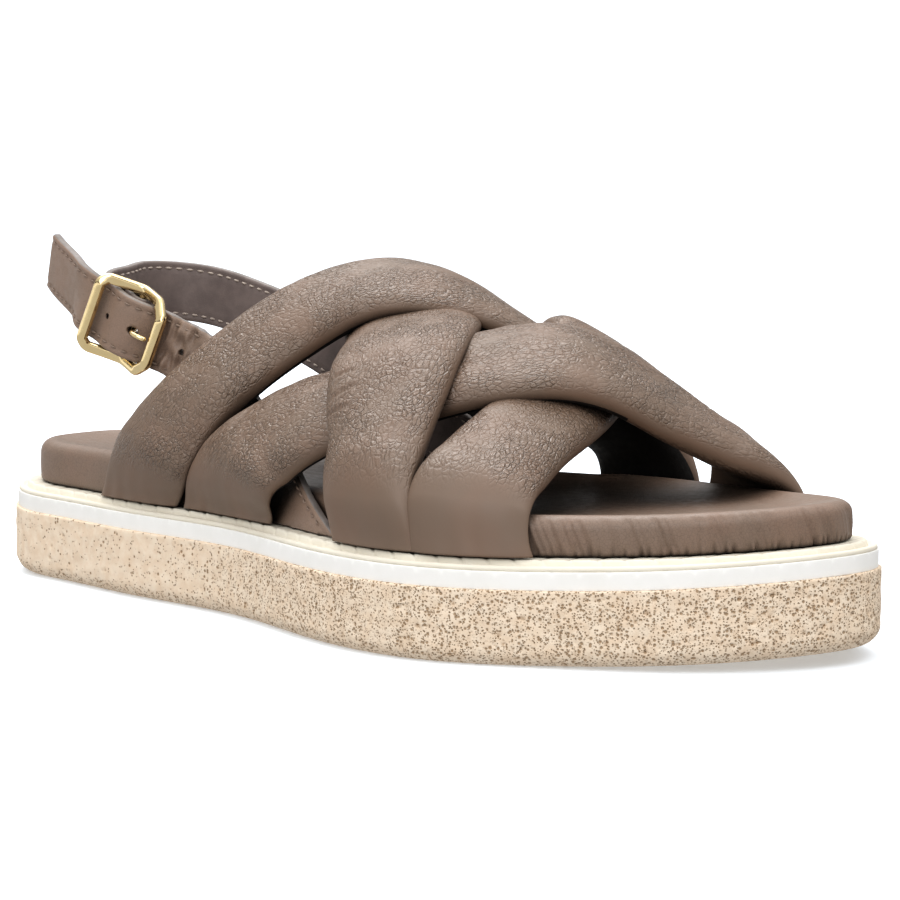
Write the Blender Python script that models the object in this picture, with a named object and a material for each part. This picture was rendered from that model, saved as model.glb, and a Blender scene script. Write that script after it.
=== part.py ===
"""Leather sandal for the right foot: four padded straps woven over a dished footbed, on a crepe
platform with a white band and a cream welt, held at the heel by a buckled strap.

Sizes are millimetres. x runs forward from the back of the heel, y towards the big toe's side
(medial) and z up from the floor. The finished pieces are moved so that the middle of the sole
is the origin, and are scaled to metres.
"""

from collections import namedtuple
from itertools import product

import bmesh
import bpy
import numpy as np

MM = 0.001
GAP = 0.3
SMALL_STEP = 1e-3
SHARP_ANGLE = 40.0

# Sole outline: width on each side of the middle line at each distance from the heel
OutlineRow = namedtuple("OutlineRow", "x lateral medial")
HEEL_POINT = (0.0, 1.0)
TOE_POINT = (265.0, 5.0)
OUTLINE = (
    OutlineRow(3.0, -17.0, 16.0),
    OutlineRow(15.0, -27.5, 28.0),
    OutlineRow(29.0, -30.5, 33.0),
    OutlineRow(65.0, -37.0, 32.0),
    OutlineRow(106.0, -42.0, 31.5),
    OutlineRow(146.0, -55.5, 41.0),
    OutlineRow(185.0, -59.0, 47.0),
    OutlineRow(213.0, -47.5, 43.0),
    OutlineRow(241.0, -31.5, 33.0),
    OutlineRow(258.0, -14.0, 21.0),
)
OUTLINE_SAMPLES = 800
OUTLINE_WRAP = 5
RING_STEPS = 40

# The tread is flat from heel to ball and rises at both ends
TOE_SPRING = 4.0
TOE_SPRING_START = 195.0
TOE_SPRING_RUN = 70.0
HEEL_RISE = 1.2
HEEL_RISE_RUN = 30.0

# Layers of the sole: how far each edge lies inside the outline, and its height
EdgeRow = namedtuple("EdgeRow", "inset height")
OUTSOLE_EDGE = (
    EdgeRow(4.4, 0.0),
    EdgeRow(2.1, 0.7),
    EdgeRow(0.7, 2.1),
    EdgeRow(0.0, 4.2),
    EdgeRow(0.0, 16.9),
    EdgeRow(0.5, 17.4),
)
MIDSOLE_EDGE = (
    EdgeRow(1.0, 17.7),
    EdgeRow(0.7, 18.0),
    EdgeRow(0.7, 21.7),
    EdgeRow(1.1, 22.1),
)
WELT_EDGE = (
    EdgeRow(1.5, 22.4),
    EdgeRow(1.0, 22.6),
    EdgeRow(1.2, 23.1),
    EdgeRow(2.3, 23.1),
    EdgeRow(2.9, 22.7),
    EdgeRow(3.5, 23.9),
    EdgeRow(4.3, 24.4),
)
FOOTBED_BOTTOM = 24.7
FOOTBED_INSET = 7.0
FOOTBED_RIM_TOE = 34.0
FOOTBED_RIM_HEEL = 35.8
FOOTBED_RIM_CHANGE = (50.0, 130.0)
FOOTBED_FOOT = EdgeRow(0.7, 1.0)
FOOTBED_EDGE_RADIUS = 3.6
FOOTBED_EDGE_CUT = 0.3
FOOTBED_BELLY = 0.1
DISH_DEPTH = 2.2
DISH_POWER = 4
DISH_END_SHARE = 0.2
DISH_COLUMNS = 7

# The footbed's wall is recessed where the heel strap is tucked down beside it
RECESS_DEPTH = 3.8
RECESS_EASE = 10.0
RECESS_LATERAL = (88.0, 166.0)
RECESS_MEDIAL = (112.0, 172.0)

# Last under the straps: height of its crest, and how square each side of its section is
LastRow = namedtuple("LastRow", "x crest")
LAST = (
    LastRow(50.0, 83.0),
    LastRow(75.0, 86.7),
    LastRow(97.0, 79.3),
    LastRow(122.0, 70.5),
    LastRow(150.0, 65.6),
    LastRow(170.0, 59.4),
    LastRow(210.0, 37.6),
    LastRow(240.0, 27.5),
)
LAST_BASE = 24.9
LAST_INSET = 6.9
LAST_SQUARENESS_LATERAL = 1.63
LAST_SQUARENESS_MEDIAL = 1.93
CREST_SHIFT = 15.0
LAST_EDGE_STATIONS = np.linspace(30.0, 240.0, 22)

# Padded straps: x of the middle line and width at equal steps from the lateral to the medial root,
# thickness, and the height that clears the footbed's rim at each root
Strap = namedtuple("Strap", "route widths thickness lateral_rim medial_rim")
STRAPS = {
    "rear_strap": Strap(
        (66.1, 92.6, 113.2, 141.8, 166.9, 175.5), (32.3, 25.5, 27.5, 26.0, 24.5, 28.5), 10.8, 1.4, 1.6
    ),
    "front_strap": Strap(
        (104.6, 134.1, 170.0, 198.6, 209.0, 207.5), (39.1, 30.0, 30.0, 26.0, 27.0, 32.0), 10.7, 3.2, 2.9
    ),
    "rear_cross_strap": Strap(
        (167.3, 157.5, 136.6, 109.0, 98.5, 93.0), (26.7, 25.3, 32.0, 30.0, 32.0, 38.0), 10.4, 2.8, 1.4
    ),
    "front_cross_strap": Strap(
        (193.0, 187.2, 182.3, 170.5, 146.0, 118.5), (27.3, 24.5, 24.5, 23.0, 27.0, 33.0), 9.9, 3.7, 1.6
    ),
}
Crossing = namedtuple("Crossing", "over under")
WEAVE = (
    Crossing("rear_strap", "rear_cross_strap"),
    Crossing("front_cross_strap", "rear_strap"),
    Crossing("rear_cross_strap", "front_strap"),
    Crossing("front_strap", "front_cross_strap"),
)
WEAVE_RISE = 5.8
WEAVE_DIP = 2.9
WEAVE_SPREAD = 22.0
STRAP_CLEARANCE = 1.0
STRAP_ROOT_CLEARANCE = 0.9
STRAP_ROOT_THICKNESS = 3.4
ROOT_SPREAD_LENGTH = 38.0
ROOT_SWELL_LENGTH = 19.0
ROOT_LEAVE_LENGTH = 8.0
ROOT_SETTLE_START = 9.0
ROOT_SETTLE_LENGTH = 14.0
PILLOW_FLATNESS = 2.6
PILLOW_ROUNDNESS = 2.2
STRAP_STEPS = 36
STRAP_COLUMNS = 7
CROSSING_SEARCH = np.linspace(0.02, 0.98, 193)

# Heel strap in two pieces: middle line, and the lean of its upper edge towards the medial side
RibbonRow = namedtuple("RibbonRow", "x y z lean")
RIBBON_WIDTH = 16.0
RIBBON_THICKNESS = 2.4
RIBBON_BEVEL = 0.5
RIBBON_STEPS = 3
OUTER_RIBBON = (
    RibbonRow(152.0, -48.9, 14.5, 0.0),
    RibbonRow(133.0, -42.4, 25.5, 9.0),
    RibbonRow(118.0, -35.0, 34.0, 22.0),
    RibbonRow(103.0, -27.7, 42.6, 25.0),
    RibbonRow(88.0, -21.4, 51.2, 21.0),
)
OUTER_TAIL = (
    RibbonRow(34.5, -23.2, 77.9, 0.0),
    RibbonRow(26.0, -19.9, 81.3, 0.0),
    RibbonRow(17.5, -16.5, 84.8, 0.0),
)
INNER_RIBBON = (
    RibbonRow(162.0, 36.4, 13.0, 0.0),
    RibbonRow(147.0, 32.8, 24.0, 0.0),
    RibbonRow(130.0, 28.1, 35.5, 0.0),
    RibbonRow(112.0, 23.0, 47.5, 0.0),
    RibbonRow(95.0, 21.0, 57.5, 0.0),
    RibbonRow(74.0, 21.6, 66.2, 2.0),
    RibbonRow(52.0, 22.4, 72.0, 4.0),
    RibbonRow(39.0, 21.4, 74.6, 3.0),
    RibbonRow(30.3, 15.0, 75.9, 0.0),
    RibbonRow(28.8, 6.0, 76.2, 0.0),
    RibbonRow(33.2, -4.0, 75.6, 0.0),
)

# Buckle: its middle, the way the strap runs through it (forward and down), and its frame
BUCKLE_MIDDLE = (53.6, -23.2, 69.4)
BUCKLE_TURN = 14.0
BUCKLE_SLOPE = 22.5
BUCKLE_HALF_LENGTH = 10.3
BUCKLE_HALF_HEIGHT = 9.8
BUCKLE_CHAMFER_FRONT = 3.4
BUCKLE_CHAMFER_REAR = 1.6
BUCKLE_BAR_WIDTH = 2.9
BUCKLE_BAR_THICKNESS = 2.4
BUCKLE_BAR_BEVEL = 0.7
BUCKLE_LOW = -2.0
BUCKLE_HIGH = 3.6
BUCKLE_BOW_POWER = 1.2
FRAME_RAIL_POINTS = 7
PIVOT_RADIUS = 1.1
PIVOT_SIDES = 12

# Places along the strap (u, forward) and out from it (n) in the buckle's own frame
StrapPoint = namedtuple("StrapPoint", "u n")
OUTER_THROUGH_BUCKLE = (
    StrapPoint(20.0, -0.8),
    StrapPoint(13.0, -0.9),
    StrapPoint(9.5, -0.6),
    StrapPoint(7.0, 0.2),
    StrapPoint(4.0, 1.9),
    StrapPoint(0.0, 2.8),
    StrapPoint(-4.0, 1.9),
    StrapPoint(-7.0, 0.2),
    StrapPoint(-9.5, -0.6),
    StrapPoint(-13.0, -0.9),
)
Hole = namedtuple("Hole", "u half_length half_width")
STRAP_HOLES = (
    Hole(-6.0, 0.8, 0.8),
    Hole(3.2, 1.6, 1.1),
    Hole(9.2, 0.8, 0.8),
    Hole(17.2, 0.8, 0.8),
)
HOLE_SIDES = 12
CUTTER_REACH = 6.0
TRIM_LOW = (0.0, -100.0, -50.0)
TRIM_HIGH = (300.0, 100.0, 24.7)
INNER_AT_PIVOT = (StrapPoint(-11.0, -4.6), StrapPoint(-6.0, -4.3), StrapPoint(-2.5, -4.1))
INNER_RETURN = (StrapPoint(-2.5, -0.9), StrapPoint(-5.5, -2.3))
FOLD_THICKNESS = 1.4
FOLD_TURN_STEPS = 6
SLOT_HALF_WIDTH = 1.9
SLOT_BACK = -3.6
SLOT_FRONT = 4.2
SLOT_LOW = -6.5
SLOT_HIGH = 1.3
PRONG_RADIUS = 0.65
PRONG_SIDES = 8
PRONG_HOOK = (-25.0, 270.0)
PRONG_HOOK_STEPS = 9
PRONG_REACH = (
    StrapPoint(1.5, 0.4),
    StrapPoint(2.5, 1.3),
    StrapPoint(3.3, 3.2),
    StrapPoint(4.2, 5.0),
    StrapPoint(5.4, 5.5),
    StrapPoint(8.5, 4.6),
)

# Plain finishes of the solids
Finish = namedtuple("Finish", "colour roughness metallic")
FINISHES = {
    "crepe": Finish((0.72, 0.55, 0.36), 0.9, 0.0),
    "white_rubber": Finish((0.85, 0.84, 0.80), 0.6, 0.0),
    "cream_rubber": Finish((0.83, 0.77, 0.64), 0.65, 0.0),
    "leather": Finish((0.165, 0.118, 0.088), 0.5, 0.0),
    "brass": Finish((0.83, 0.63, 0.26), 0.2, 1.0),
}


# Curves and vectors


def spline(knots, values, at):
    """A cubic through every knot, with one cubic over the first two spans and the last two."""
    knots = np.asarray(knots, float)
    values = np.asarray(values, float)
    at = np.asarray(at, float)
    count = len(knots)
    step = np.diff(knots)
    slope = (np.diff(values, axis=0).T / step).T
    matrix = np.zeros((count, count))
    right = np.zeros(values.shape)
    for i in range(1, count - 1):
        matrix[i, i - 1 : i + 2] = step[i - 1], 2 * (step[i - 1] + step[i]), step[i]
        right[i] = 6 * (slope[i] - slope[i - 1])
    matrix[0, :3] = step[1], -step[0] - step[1], step[0]
    matrix[-1, -3:] = step[-1], -step[-1] - step[-2], step[-2]
    bend = np.linalg.solve(matrix, right)
    span = np.clip(np.searchsorted(knots, at) - 1, 0, count - 2)
    width = step[span]
    before = knots[span + 1] - at
    after = at - knots[span]
    pad = (...,) + (None,) * (values.ndim - 1)
    cubic = bend[span] * (before**3 / (6 * width))[pad] + bend[span + 1] * (after**3 / (6 * width))[pad]
    start = values[span] / width[pad] - bend[span] * (width / 6)[pad]
    end = values[span + 1] / width[pad] - bend[span + 1] * (width / 6)[pad]
    return cubic + start * before[pad] + end * after[pad]


def along(points):
    """Distance along a line of points, from its start."""
    return np.concatenate([[0.0], np.cumsum(np.linalg.norm(np.diff(points, axis=0), axis=1))])


def unit(vectors):
    return vectors / np.linalg.norm(vectors, axis=-1, keepdims=True)


def dot(first, second):
    return (first * second).sum(axis=-1)


def ease(value):
    value = np.clip(value, 0.0, 1.0)
    return value * value * (3 - 2 * value)


# Sole outline


def closed_outline():
    """The sole's outline as close points, from the heel along the lateral side and back."""
    lateral = [(row.x, row.lateral) for row in OUTLINE]
    medial = [(row.x, row.medial) for row in reversed(OUTLINE)]
    points = np.array([HEEL_POINT, *lateral, TOE_POINT, *medial])
    around = np.vstack([points[-OUTLINE_WRAP:], points, points[: OUTLINE_WRAP + 1]])
    distance = along(around)
    start = distance[OUTLINE_WRAP]
    end = distance[OUTLINE_WRAP + len(points)]
    return spline(distance, around, np.linspace(start, end, OUTLINE_SAMPLES, endpoint=False))


def outline_normals(points):
    step = np.roll(points, -1, axis=0) - np.roll(points, 1, axis=0)
    return unit(np.stack([step[:, 1], -step[:, 0]], axis=1))


OUTLINE_POINTS = closed_outline()
OUTLINE_NORMALS = outline_normals(OUTLINE_POINTS)
HEEL_INDEX = int(OUTLINE_POINTS[:, 0].argmin())
TOE_INDEX = int(OUTLINE_POINTS[:, 0].argmax())
ORIGIN = (OUTLINE_POINTS.min(axis=0) + OUTLINE_POINTS.max(axis=0)) / 2


def side_indices(lateral):
    """Outline samples of one side, from heel to toe."""
    start, end = (HEEL_INDEX, TOE_INDEX) if lateral else (TOE_INDEX, HEEL_INDEX)
    if end < start:
        end += OUTLINE_SAMPLES
    chosen = np.arange(start, end + 1) % OUTLINE_SAMPLES
    return chosen if lateral else chosen[::-1]


def side_at(x, lateral, inset):
    """Points of one side of the outline at distances x, moved inwards by inset."""
    chosen = side_indices(lateral)
    place = np.maximum.accumulate(OUTLINE_POINTS[chosen, 0])
    y = np.interp(x, place, OUTLINE_POINTS[chosen, 1])
    normal = [np.interp(x, place, OUTLINE_NORMALS[chosen, axis]) for axis in (0, 1)]
    return np.stack([x, y], axis=-1) - unit(np.stack(normal, axis=-1)) * np.asarray(inset)[..., None]


def floor_rise(x):
    toe = np.clip((x - TOE_SPRING_START) / TOE_SPRING_RUN, 0.0, None)
    heel = np.clip((HEEL_RISE_RUN - x) / HEEL_RISE_RUN, 0.0, None)
    return TOE_SPRING * toe**2 + HEEL_RISE * heel**2


def ring_stations():
    first, last = OUTLINE_POINTS[HEEL_INDEX, 0], OUTLINE_POINTS[TOE_INDEX, 0]
    return first + (last - first) * (1 - np.cos(np.linspace(0.0, np.pi, RING_STEPS + 1))) / 2


def ring(inset, height, recess=0.0):
    """One closed ring of a sole layer: lateral side heel to toe, then medial side back."""
    x = ring_stations()
    lateral = side_at(x, True, inset + recess * recess_share(x, RECESS_LATERAL))
    medial = side_at(x, False, inset + recess * recess_share(x, RECESS_MEDIAL))
    flat = np.vstack([lateral, medial[-2:0:-1]])
    rise = np.broadcast_to(height, x.shape)
    level = np.concatenate([rise, rise[-2:0:-1]])
    return np.column_stack([flat, level + floor_rise(flat[:, 0])])


def recess_share(x, span):
    return ease((x - span[0]) / RECESS_EASE) * ease((span[1] - x) / RECESS_EASE)


# Meshes


def add_solid(name, points, faces, finish):
    """A closed mesh object from points in millimetres, with its finish."""
    moved = (np.asarray(points) - np.append(ORIGIN, 0.0)) * MM
    mesh = bpy.data.meshes.new(name)
    mesh.from_pydata(moved.tolist(), [], [list(map(int, face)) for face in faces])
    solid = bmesh.new()
    solid.from_mesh(mesh)
    bmesh.ops.recalc_face_normals(solid, faces=solid.faces)
    solid.to_mesh(mesh)
    solid.free()
    mesh.shade_smooth()
    mesh.set_sharp_from_angle(angle=np.radians(SHARP_ANGLE))
    mesh.materials.append(bpy.data.materials[finish])
    thing = bpy.data.objects.new(name, mesh)
    bpy.context.scene.collection.objects.link(thing)
    return thing


def add_helper(name, points, faces, finish):
    """A solid that only shapes another one."""
    helper = add_solid(name, points, faces, finish)
    helper.hide_render = True
    helper.display_type = "WIRE"
    return helper


def combine(thing, helper, operation):
    change = thing.modifiers.new(helper.name, "BOOLEAN")
    change.operation = operation
    change.solver = "EXACT"
    change.object = helper


def tube_faces(rings, sides, closed=False):
    """Faces of a row of rings, capped at both ends unless the row closes on itself."""
    faces = []
    for i in range(rings if closed else rings - 1):
        here, there = i * sides, (i + 1) % rings * sides
        for j in range(sides):
            k = (j + 1) % sides
            faces.append((here + j, here + k, there + k, there + j))
    if not closed:
        faces.append(range(sides))
        faces.append(range((rings - 1) * sides, rings * sides))
    return faces


def ladder_faces(first):
    """Faces that close a sole ring, in strips from side to side."""
    count = 2 * RING_STEPS
    faces = [(first, first + 1, first + count - 1)]
    for i in range(1, RING_STEPS - 1):
        faces.append((first + i, first + i + 1, first + count - i - 1, first + count - i))
    faces.append((first + RING_STEPS - 1, first + RING_STEPS, first + RING_STEPS + 1))
    return faces


def band_faces(rings):
    return tube_faces(rings, 2 * RING_STEPS)[:-2]


# Sole


def make_layer(name, edge, finish):
    rings = [ring(row.inset, row.height) for row in edge]
    top = (len(rings) - 1) * 2 * RING_STEPS
    faces = band_faces(len(rings)) + ladder_faces(0) + ladder_faces(top)
    return add_solid(name, np.vstack(rings), faces, finish)


def rim_height(x):
    start, end = FOOTBED_RIM_CHANGE
    return FOOTBED_RIM_HEEL + (FOOTBED_RIM_TOE - FOOTBED_RIM_HEEL) * ease((x - start) / (end - start))


def footbed_rings():
    """The footbed's wall, from its lower edge round to the start of the dish."""
    rim = rim_height(ring_stations())
    radius = FOOTBED_EDGE_RADIUS
    cut = radius * FOOTBED_EDGE_CUT
    rows = (
        EdgeRow(FOOTBED_FOOT.inset, FOOTBED_BOTTOM),
        EdgeRow(0.0, FOOTBED_BOTTOM + FOOTBED_FOOT.height),
        EdgeRow(-FOOTBED_BELLY, (FOOTBED_BOTTOM + rim) / 2),
        EdgeRow(0.0, rim - radius),
        EdgeRow(cut, rim - cut),
        EdgeRow(radius, rim),
    )
    return [ring(FOOTBED_INSET + row.inset, row.height, RECESS_DEPTH) for row in rows]


def dish_points(rim_ring):
    """Rows of points from side to side, sunk below the rim towards the middle."""
    share = np.linspace(0.0, 1.0, DISH_COLUMNS + 2)[1:-1]
    rows = []
    for i in range(1, RING_STEPS):
        lateral, medial = rim_ring[i], rim_ring[2 * RING_STEPS - i]
        row = lateral + (medial - lateral) * share[:, None]
        end = min(i, RING_STEPS - i) / RING_STEPS
        row[:, 2] -= DISH_DEPTH * (1 - (2 * share - 1) ** DISH_POWER) * ease(end / DISH_END_SHARE)
        rows.append(row)
    return np.vstack(rows)


def dish_faces(rim_start, dish_start):
    """Faces between the rim ring and the rows of the dish."""

    def row_of(i):
        start = dish_start + (i - 1) * DISH_COLUMNS
        inner = list(range(start, start + DISH_COLUMNS))
        return [rim_start + i, *inner, rim_start + 2 * RING_STEPS - i]

    heel, toe = row_of(1), row_of(RING_STEPS - 1)
    faces = [(rim_start, a, b) for a, b in zip(heel, heel[1:])]
    for i in range(1, RING_STEPS - 1):
        here, there = row_of(i), row_of(i + 1)
        for j in range(DISH_COLUMNS + 1):
            faces.append((here[j], here[j + 1], there[j + 1], there[j]))
    faces += [(rim_start + RING_STEPS, b, a) for a, b in zip(toe, toe[1:])]
    return faces


def make_footbed():
    rings = footbed_rings()
    rim_start = (len(rings) - 1) * 2 * RING_STEPS
    points = np.vstack([*rings, dish_points(rings[-1])])
    faces = band_faces(len(rings)) + ladder_faces(0)
    faces += dish_faces(rim_start, rim_start + 2 * RING_STEPS)
    return add_solid("footbed", points, faces, "leather")


# Last and straps


def last_edge(x, lateral):
    chosen = np.linspace(0.0, TOE_POINT[0], OUTLINE_SAMPLES)
    edge = side_at(chosen, lateral, LAST_INSET)
    sampled = np.interp(LAST_EDGE_STATIONS, np.maximum.accumulate(edge[:, 0]), edge[:, 1])
    return spline(LAST_EDGE_STATIONS, sampled, x)


def last_point(x, turn):
    """A point of the last: turn runs from pi at the lateral base over the crest to 0."""
    lateral, medial = last_edge(x, True), last_edge(x, False)
    across, up = np.cos(turn), np.sin(turn)
    change = (LAST_SQUARENESS_MEDIAL - LAST_SQUARENESS_LATERAL) / 2
    power = LAST_SQUARENESS_LATERAL + change * (1 + across)
    reach = (np.abs(across) ** power + np.abs(up) ** power) ** (1 / power)
    crest = spline([row.x for row in LAST], [row.crest for row in LAST], x)
    y = (lateral + medial) / 2 + (medial - lateral) / 2 * across / reach
    y = y + CREST_SHIFT * np.clip(up, 0.0, None) ** 2
    z = LAST_BASE + (crest - LAST_BASE) * up / reach + floor_rise(x)
    return np.stack([x, y, z], axis=-1)


def last_directions(x, turn):
    """How a point of the last moves with x and with turn, and the way out from it."""
    step = SMALL_STEP
    with_x = (last_point(x + step, turn) - last_point(x - step, turn)) / (2 * step)
    with_turn = (last_point(x, turn + step) - last_point(x, turn - step)) / (2 * step)
    return with_x, with_turn, unit(np.cross(with_turn, with_x))


def steps_at(steps, share):
    """A value given at equal steps of a strap, at any share of the way along it."""
    return spline(np.linspace(0.0, 1.0, len(steps)), steps, share)


def route_at(strap, share):
    return steps_at(strap.route, share)


def crossing_share(first, second):
    """How far along both straps they cross, since equal shares lie at equal turns."""
    share = CROSSING_SEARCH
    apart = route_at(first, share) - route_at(second, share)
    i = int(np.flatnonzero(np.diff(np.sign(apart)))[0])
    return share[i] - apart[i] * (share[i + 1] - share[i]) / (apart[i + 1] - apart[i])


def weave_height(name, share, distance):
    """Rise where the strap passes over another and dip where it passes under."""
    height = np.zeros_like(distance)
    for crossing in WEAVE:
        if name not in crossing:
            continue
        at = crossing_share(STRAPS[crossing.over], STRAPS[crossing.under])
        middle = np.interp(at, share, distance)
        amount = WEAVE_RISE if name == crossing.over else -WEAVE_DIP
        height += amount * np.exp(-(((distance - middle) / WEAVE_SPREAD) ** 2))
    return height


def strap_grid(strap, share, columns):
    """Points of the last under the strap, the ways out from them, and distance along it."""
    x, turn = route_at(strap, share), np.pi * (1 - share)
    with_x, with_turn, out = last_directions(x, turn)
    pace = (route_at(strap, share + SMALL_STEP) - route_at(strap, share - SMALL_STEP)) / (2 * SMALL_STEP)
    forward = unit(with_x * pace[:, None] - with_turn * np.pi)
    across = unit(np.cross(out, forward))
    xx = dot(with_x, with_x)
    xt = dot(with_x, with_turn)
    tt = dot(with_turn, with_turn)
    on_x = dot(with_x, across)
    on_turn = dot(with_turn, across)
    area = xx * tt - xt**2
    step_x = (tt * on_x - xt * on_turn) / area
    step_turn = (xx * on_turn - xt * on_x) / area
    distance = along(last_point(x, turn))
    from_lateral = ease(distance / ROOT_SPREAD_LENGTH)
    from_medial = ease((distance[-1] - distance) / ROOT_SPREAD_LENGTH)
    free = from_lateral * from_medial
    facing = np.sign(step_x.mean()) / 2
    width = steps_at(strap.widths, share)
    reach_x = free * step_x * width / 2
    reach_x += facing * ((1 - from_lateral) * strap.widths[0] + (1 - from_medial) * strap.widths[-1])
    reach_turn = free * step_turn * width / 2
    grid_x = x[:, None] + columns * reach_x[:, None]
    grid_turn = np.clip(turn[:, None] + columns * reach_turn[:, None], 0.0, np.pi)
    return last_point(grid_x, grid_turn), last_directions(grid_x, grid_turn)[2], distance


def strap_rings(name, steps, column_count):
    """Closed rings of one padded strap, from its lateral root to its medial root."""
    strap = STRAPS[name]
    share = np.linspace(0.0, 1.0, steps)
    columns = np.sin(np.linspace(-1.0, 1.0, column_count) * np.pi / 2)
    points, out, distance = strap_grid(strap, share, columns)
    from_end = np.minimum(distance, distance[-1] - distance)
    swell = ease(from_end / ROOT_SWELL_LENGTH)
    leave = ease(from_end / ROOT_LEAVE_LENGTH)
    settle = ease((from_end - ROOT_SETTLE_START) / ROOT_SETTLE_LENGTH)
    rim = np.where(distance < distance[-1] / 2, strap.lateral_rim, strap.medial_rim)
    thickness = STRAP_ROOT_THICKNESS + (strap.thickness - STRAP_ROOT_THICKNESS) * swell
    clearance = STRAP_ROOT_CLEARANCE + (rim - STRAP_ROOT_CLEARANCE) * leave
    clearance += (STRAP_CLEARANCE - rim + weave_height(name, share, distance)) * settle
    pillow = (1 - np.abs(columns) ** PILLOW_FLATNESS) ** (1 / PILLOW_ROUNDNESS)
    upper = clearance[:, None] + thickness[:, None] * (1 + pillow) / 2
    lower = clearance[:, None] + thickness[:, None] * (1 - pillow) / 2
    above = points + out * upper[..., None]
    below = points + out * lower[..., None]
    return np.concatenate([above, below[:, -2:0:-1]], axis=1)


def make_upper():
    """The four straps joined where they cross."""
    upper = None
    for name in STRAPS:
        rings = strap_rings(name, STRAP_STEPS, STRAP_COLUMNS)
        faces = tube_faces(len(rings), rings.shape[1])
        points = rings.reshape(-1, 3)
        if upper is None:
            upper = add_solid("upper", points, faces, "leather")
        else:
            combine(upper, add_helper(name, points, faces, "leather"), "UNION")
    return upper


# Heel strap


def buckle_axes():
    """Along the strap, across it upwards, and out from the shoe."""
    turn, slope = np.radians(BUCKLE_TURN), np.radians(BUCKLE_SLOPE)
    along_strap = np.array([np.cos(turn) * np.cos(slope), np.sin(turn) * np.cos(slope), -np.sin(slope)])
    out = np.array([np.sin(turn), -np.cos(turn), 0.0])
    return along_strap, np.cross(out, along_strap), out


def buckle_point(u, v, n):
    along_strap, across, out = buckle_axes()
    return np.array(BUCKLE_MIDDLE) + u * along_strap + v * across + n * out


def leaning(degrees):
    """The direction across a strap that stands on edge and leans towards the medial side."""
    return np.array([0.0, np.sin(np.radians(degrees)), np.cos(np.radians(degrees))])


def ribbon_rings(route, across, thickness, steps):
    """Rings of a flat strap along a smooth route, a few between each two of its points."""
    distance = along(route)
    knots = np.arange(len(route))
    at = np.interp(np.linspace(0.0, knots[-1], knots[-1] * steps + 1), knots, distance)
    points = spline(distance, route, at)
    half = np.interp(at, distance, thickness)[:, None] / 2
    forward = unit(np.gradient(points, at, axis=0))
    wide = np.stack([np.interp(at, distance, across[:, axis]) for axis in range(3)], axis=1)
    wide = unit(wide - forward * (wide * forward).sum(axis=1, keepdims=True))
    thick = np.cross(forward, wide)
    edge = RIBBON_WIDTH / 2
    bevel = np.minimum(RIBBON_BEVEL, half / 2)
    corners = []
    for side, face in ((1, 1), (1, -1), (-1, -1), (-1, 1)):
        on_edge = wide * side * edge + thick * face * (half - bevel)
        on_face = wide * side * (edge - bevel) + thick * face * half
        pair = (on_face, on_edge) if side * face > 0 else (on_edge, on_face)
        corners += [points + pair[0], points + pair[1]]
    return np.stack(corners, axis=1)


def free_part(rows):
    """Route and leaning of a stretch of strap that runs free of the buckle."""
    return [(row.x, row.y, row.z) for row in rows], [leaning(row.lean) for row in rows]


def ribbon_solid(name, rows, local, local_thickness, tail=()):
    """A heel strap piece: its free part, then places in the buckle's frame, then a free tail."""
    route, across = free_part(rows)
    tail_route, tail_across = free_part(tail)
    route += [buckle_point(u, 0.0, n) for u, n in local] + tail_route
    across += [buckle_axes()[1]] * len(local) + tail_across
    full = RIBBON_THICKNESS
    thickness = [full] * len(rows) + [local_thickness] * len(local) + [full] * len(tail)
    rings = ribbon_rings(np.array(route), np.array(across), thickness, RIBBON_STEPS)
    ribbon = add_solid(name, rings.reshape(-1, 3), tube_faces(len(rings), rings.shape[1]), "leather")
    trim_at_welt(ribbon)
    return ribbon


def block(low, high, place):
    """Corners and faces of a box between two corners, each corner put in place by a function."""
    corners = [place(*corner) for corner in product(*zip(low, high))]
    faces = ((0, 1, 3, 2), (4, 6, 7, 5), (0, 4, 5, 1), (2, 3, 7, 6), (0, 2, 6, 4), (1, 5, 7, 3))
    return corners, faces


def trim_at_welt(ribbon):
    """Cuts a heel strap's root level, just above the welt."""
    points, faces = block(TRIM_LOW, TRIM_HIGH, lambda x, y, z: (x, y, z))
    combine(ribbon, add_helper(ribbon.name + "_trim", points, faces, "leather"), "DIFFERENCE")


def hole_rings(hole):
    angles = np.linspace(0.0, 2 * np.pi, HOLE_SIDES, endpoint=False)
    rings = []
    for n in (-CUTTER_REACH, CUTTER_REACH):
        for angle in angles:
            along_strap = hole.u + hole.half_length * np.cos(angle)
            rings.append(buckle_point(along_strap, hole.half_width * np.sin(angle), n))
    return rings


def make_outer_ribbon():
    """Lateral half: from the welt behind the straps, through the buckle, to its free tip."""
    through = OUTER_THROUGH_BUCKLE
    ribbon = ribbon_solid("heel_strap_outer", OUTER_RIBBON, through, RIBBON_THICKNESS, OUTER_TAIL)
    for number, hole in enumerate(STRAP_HOLES):
        cutter = add_helper(f"strap_hole_{number}", hole_rings(hole), tube_faces(2, HOLE_SIDES), "leather")
        combine(ribbon, cutter, "DIFFERENCE")
    return ribbon


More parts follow.
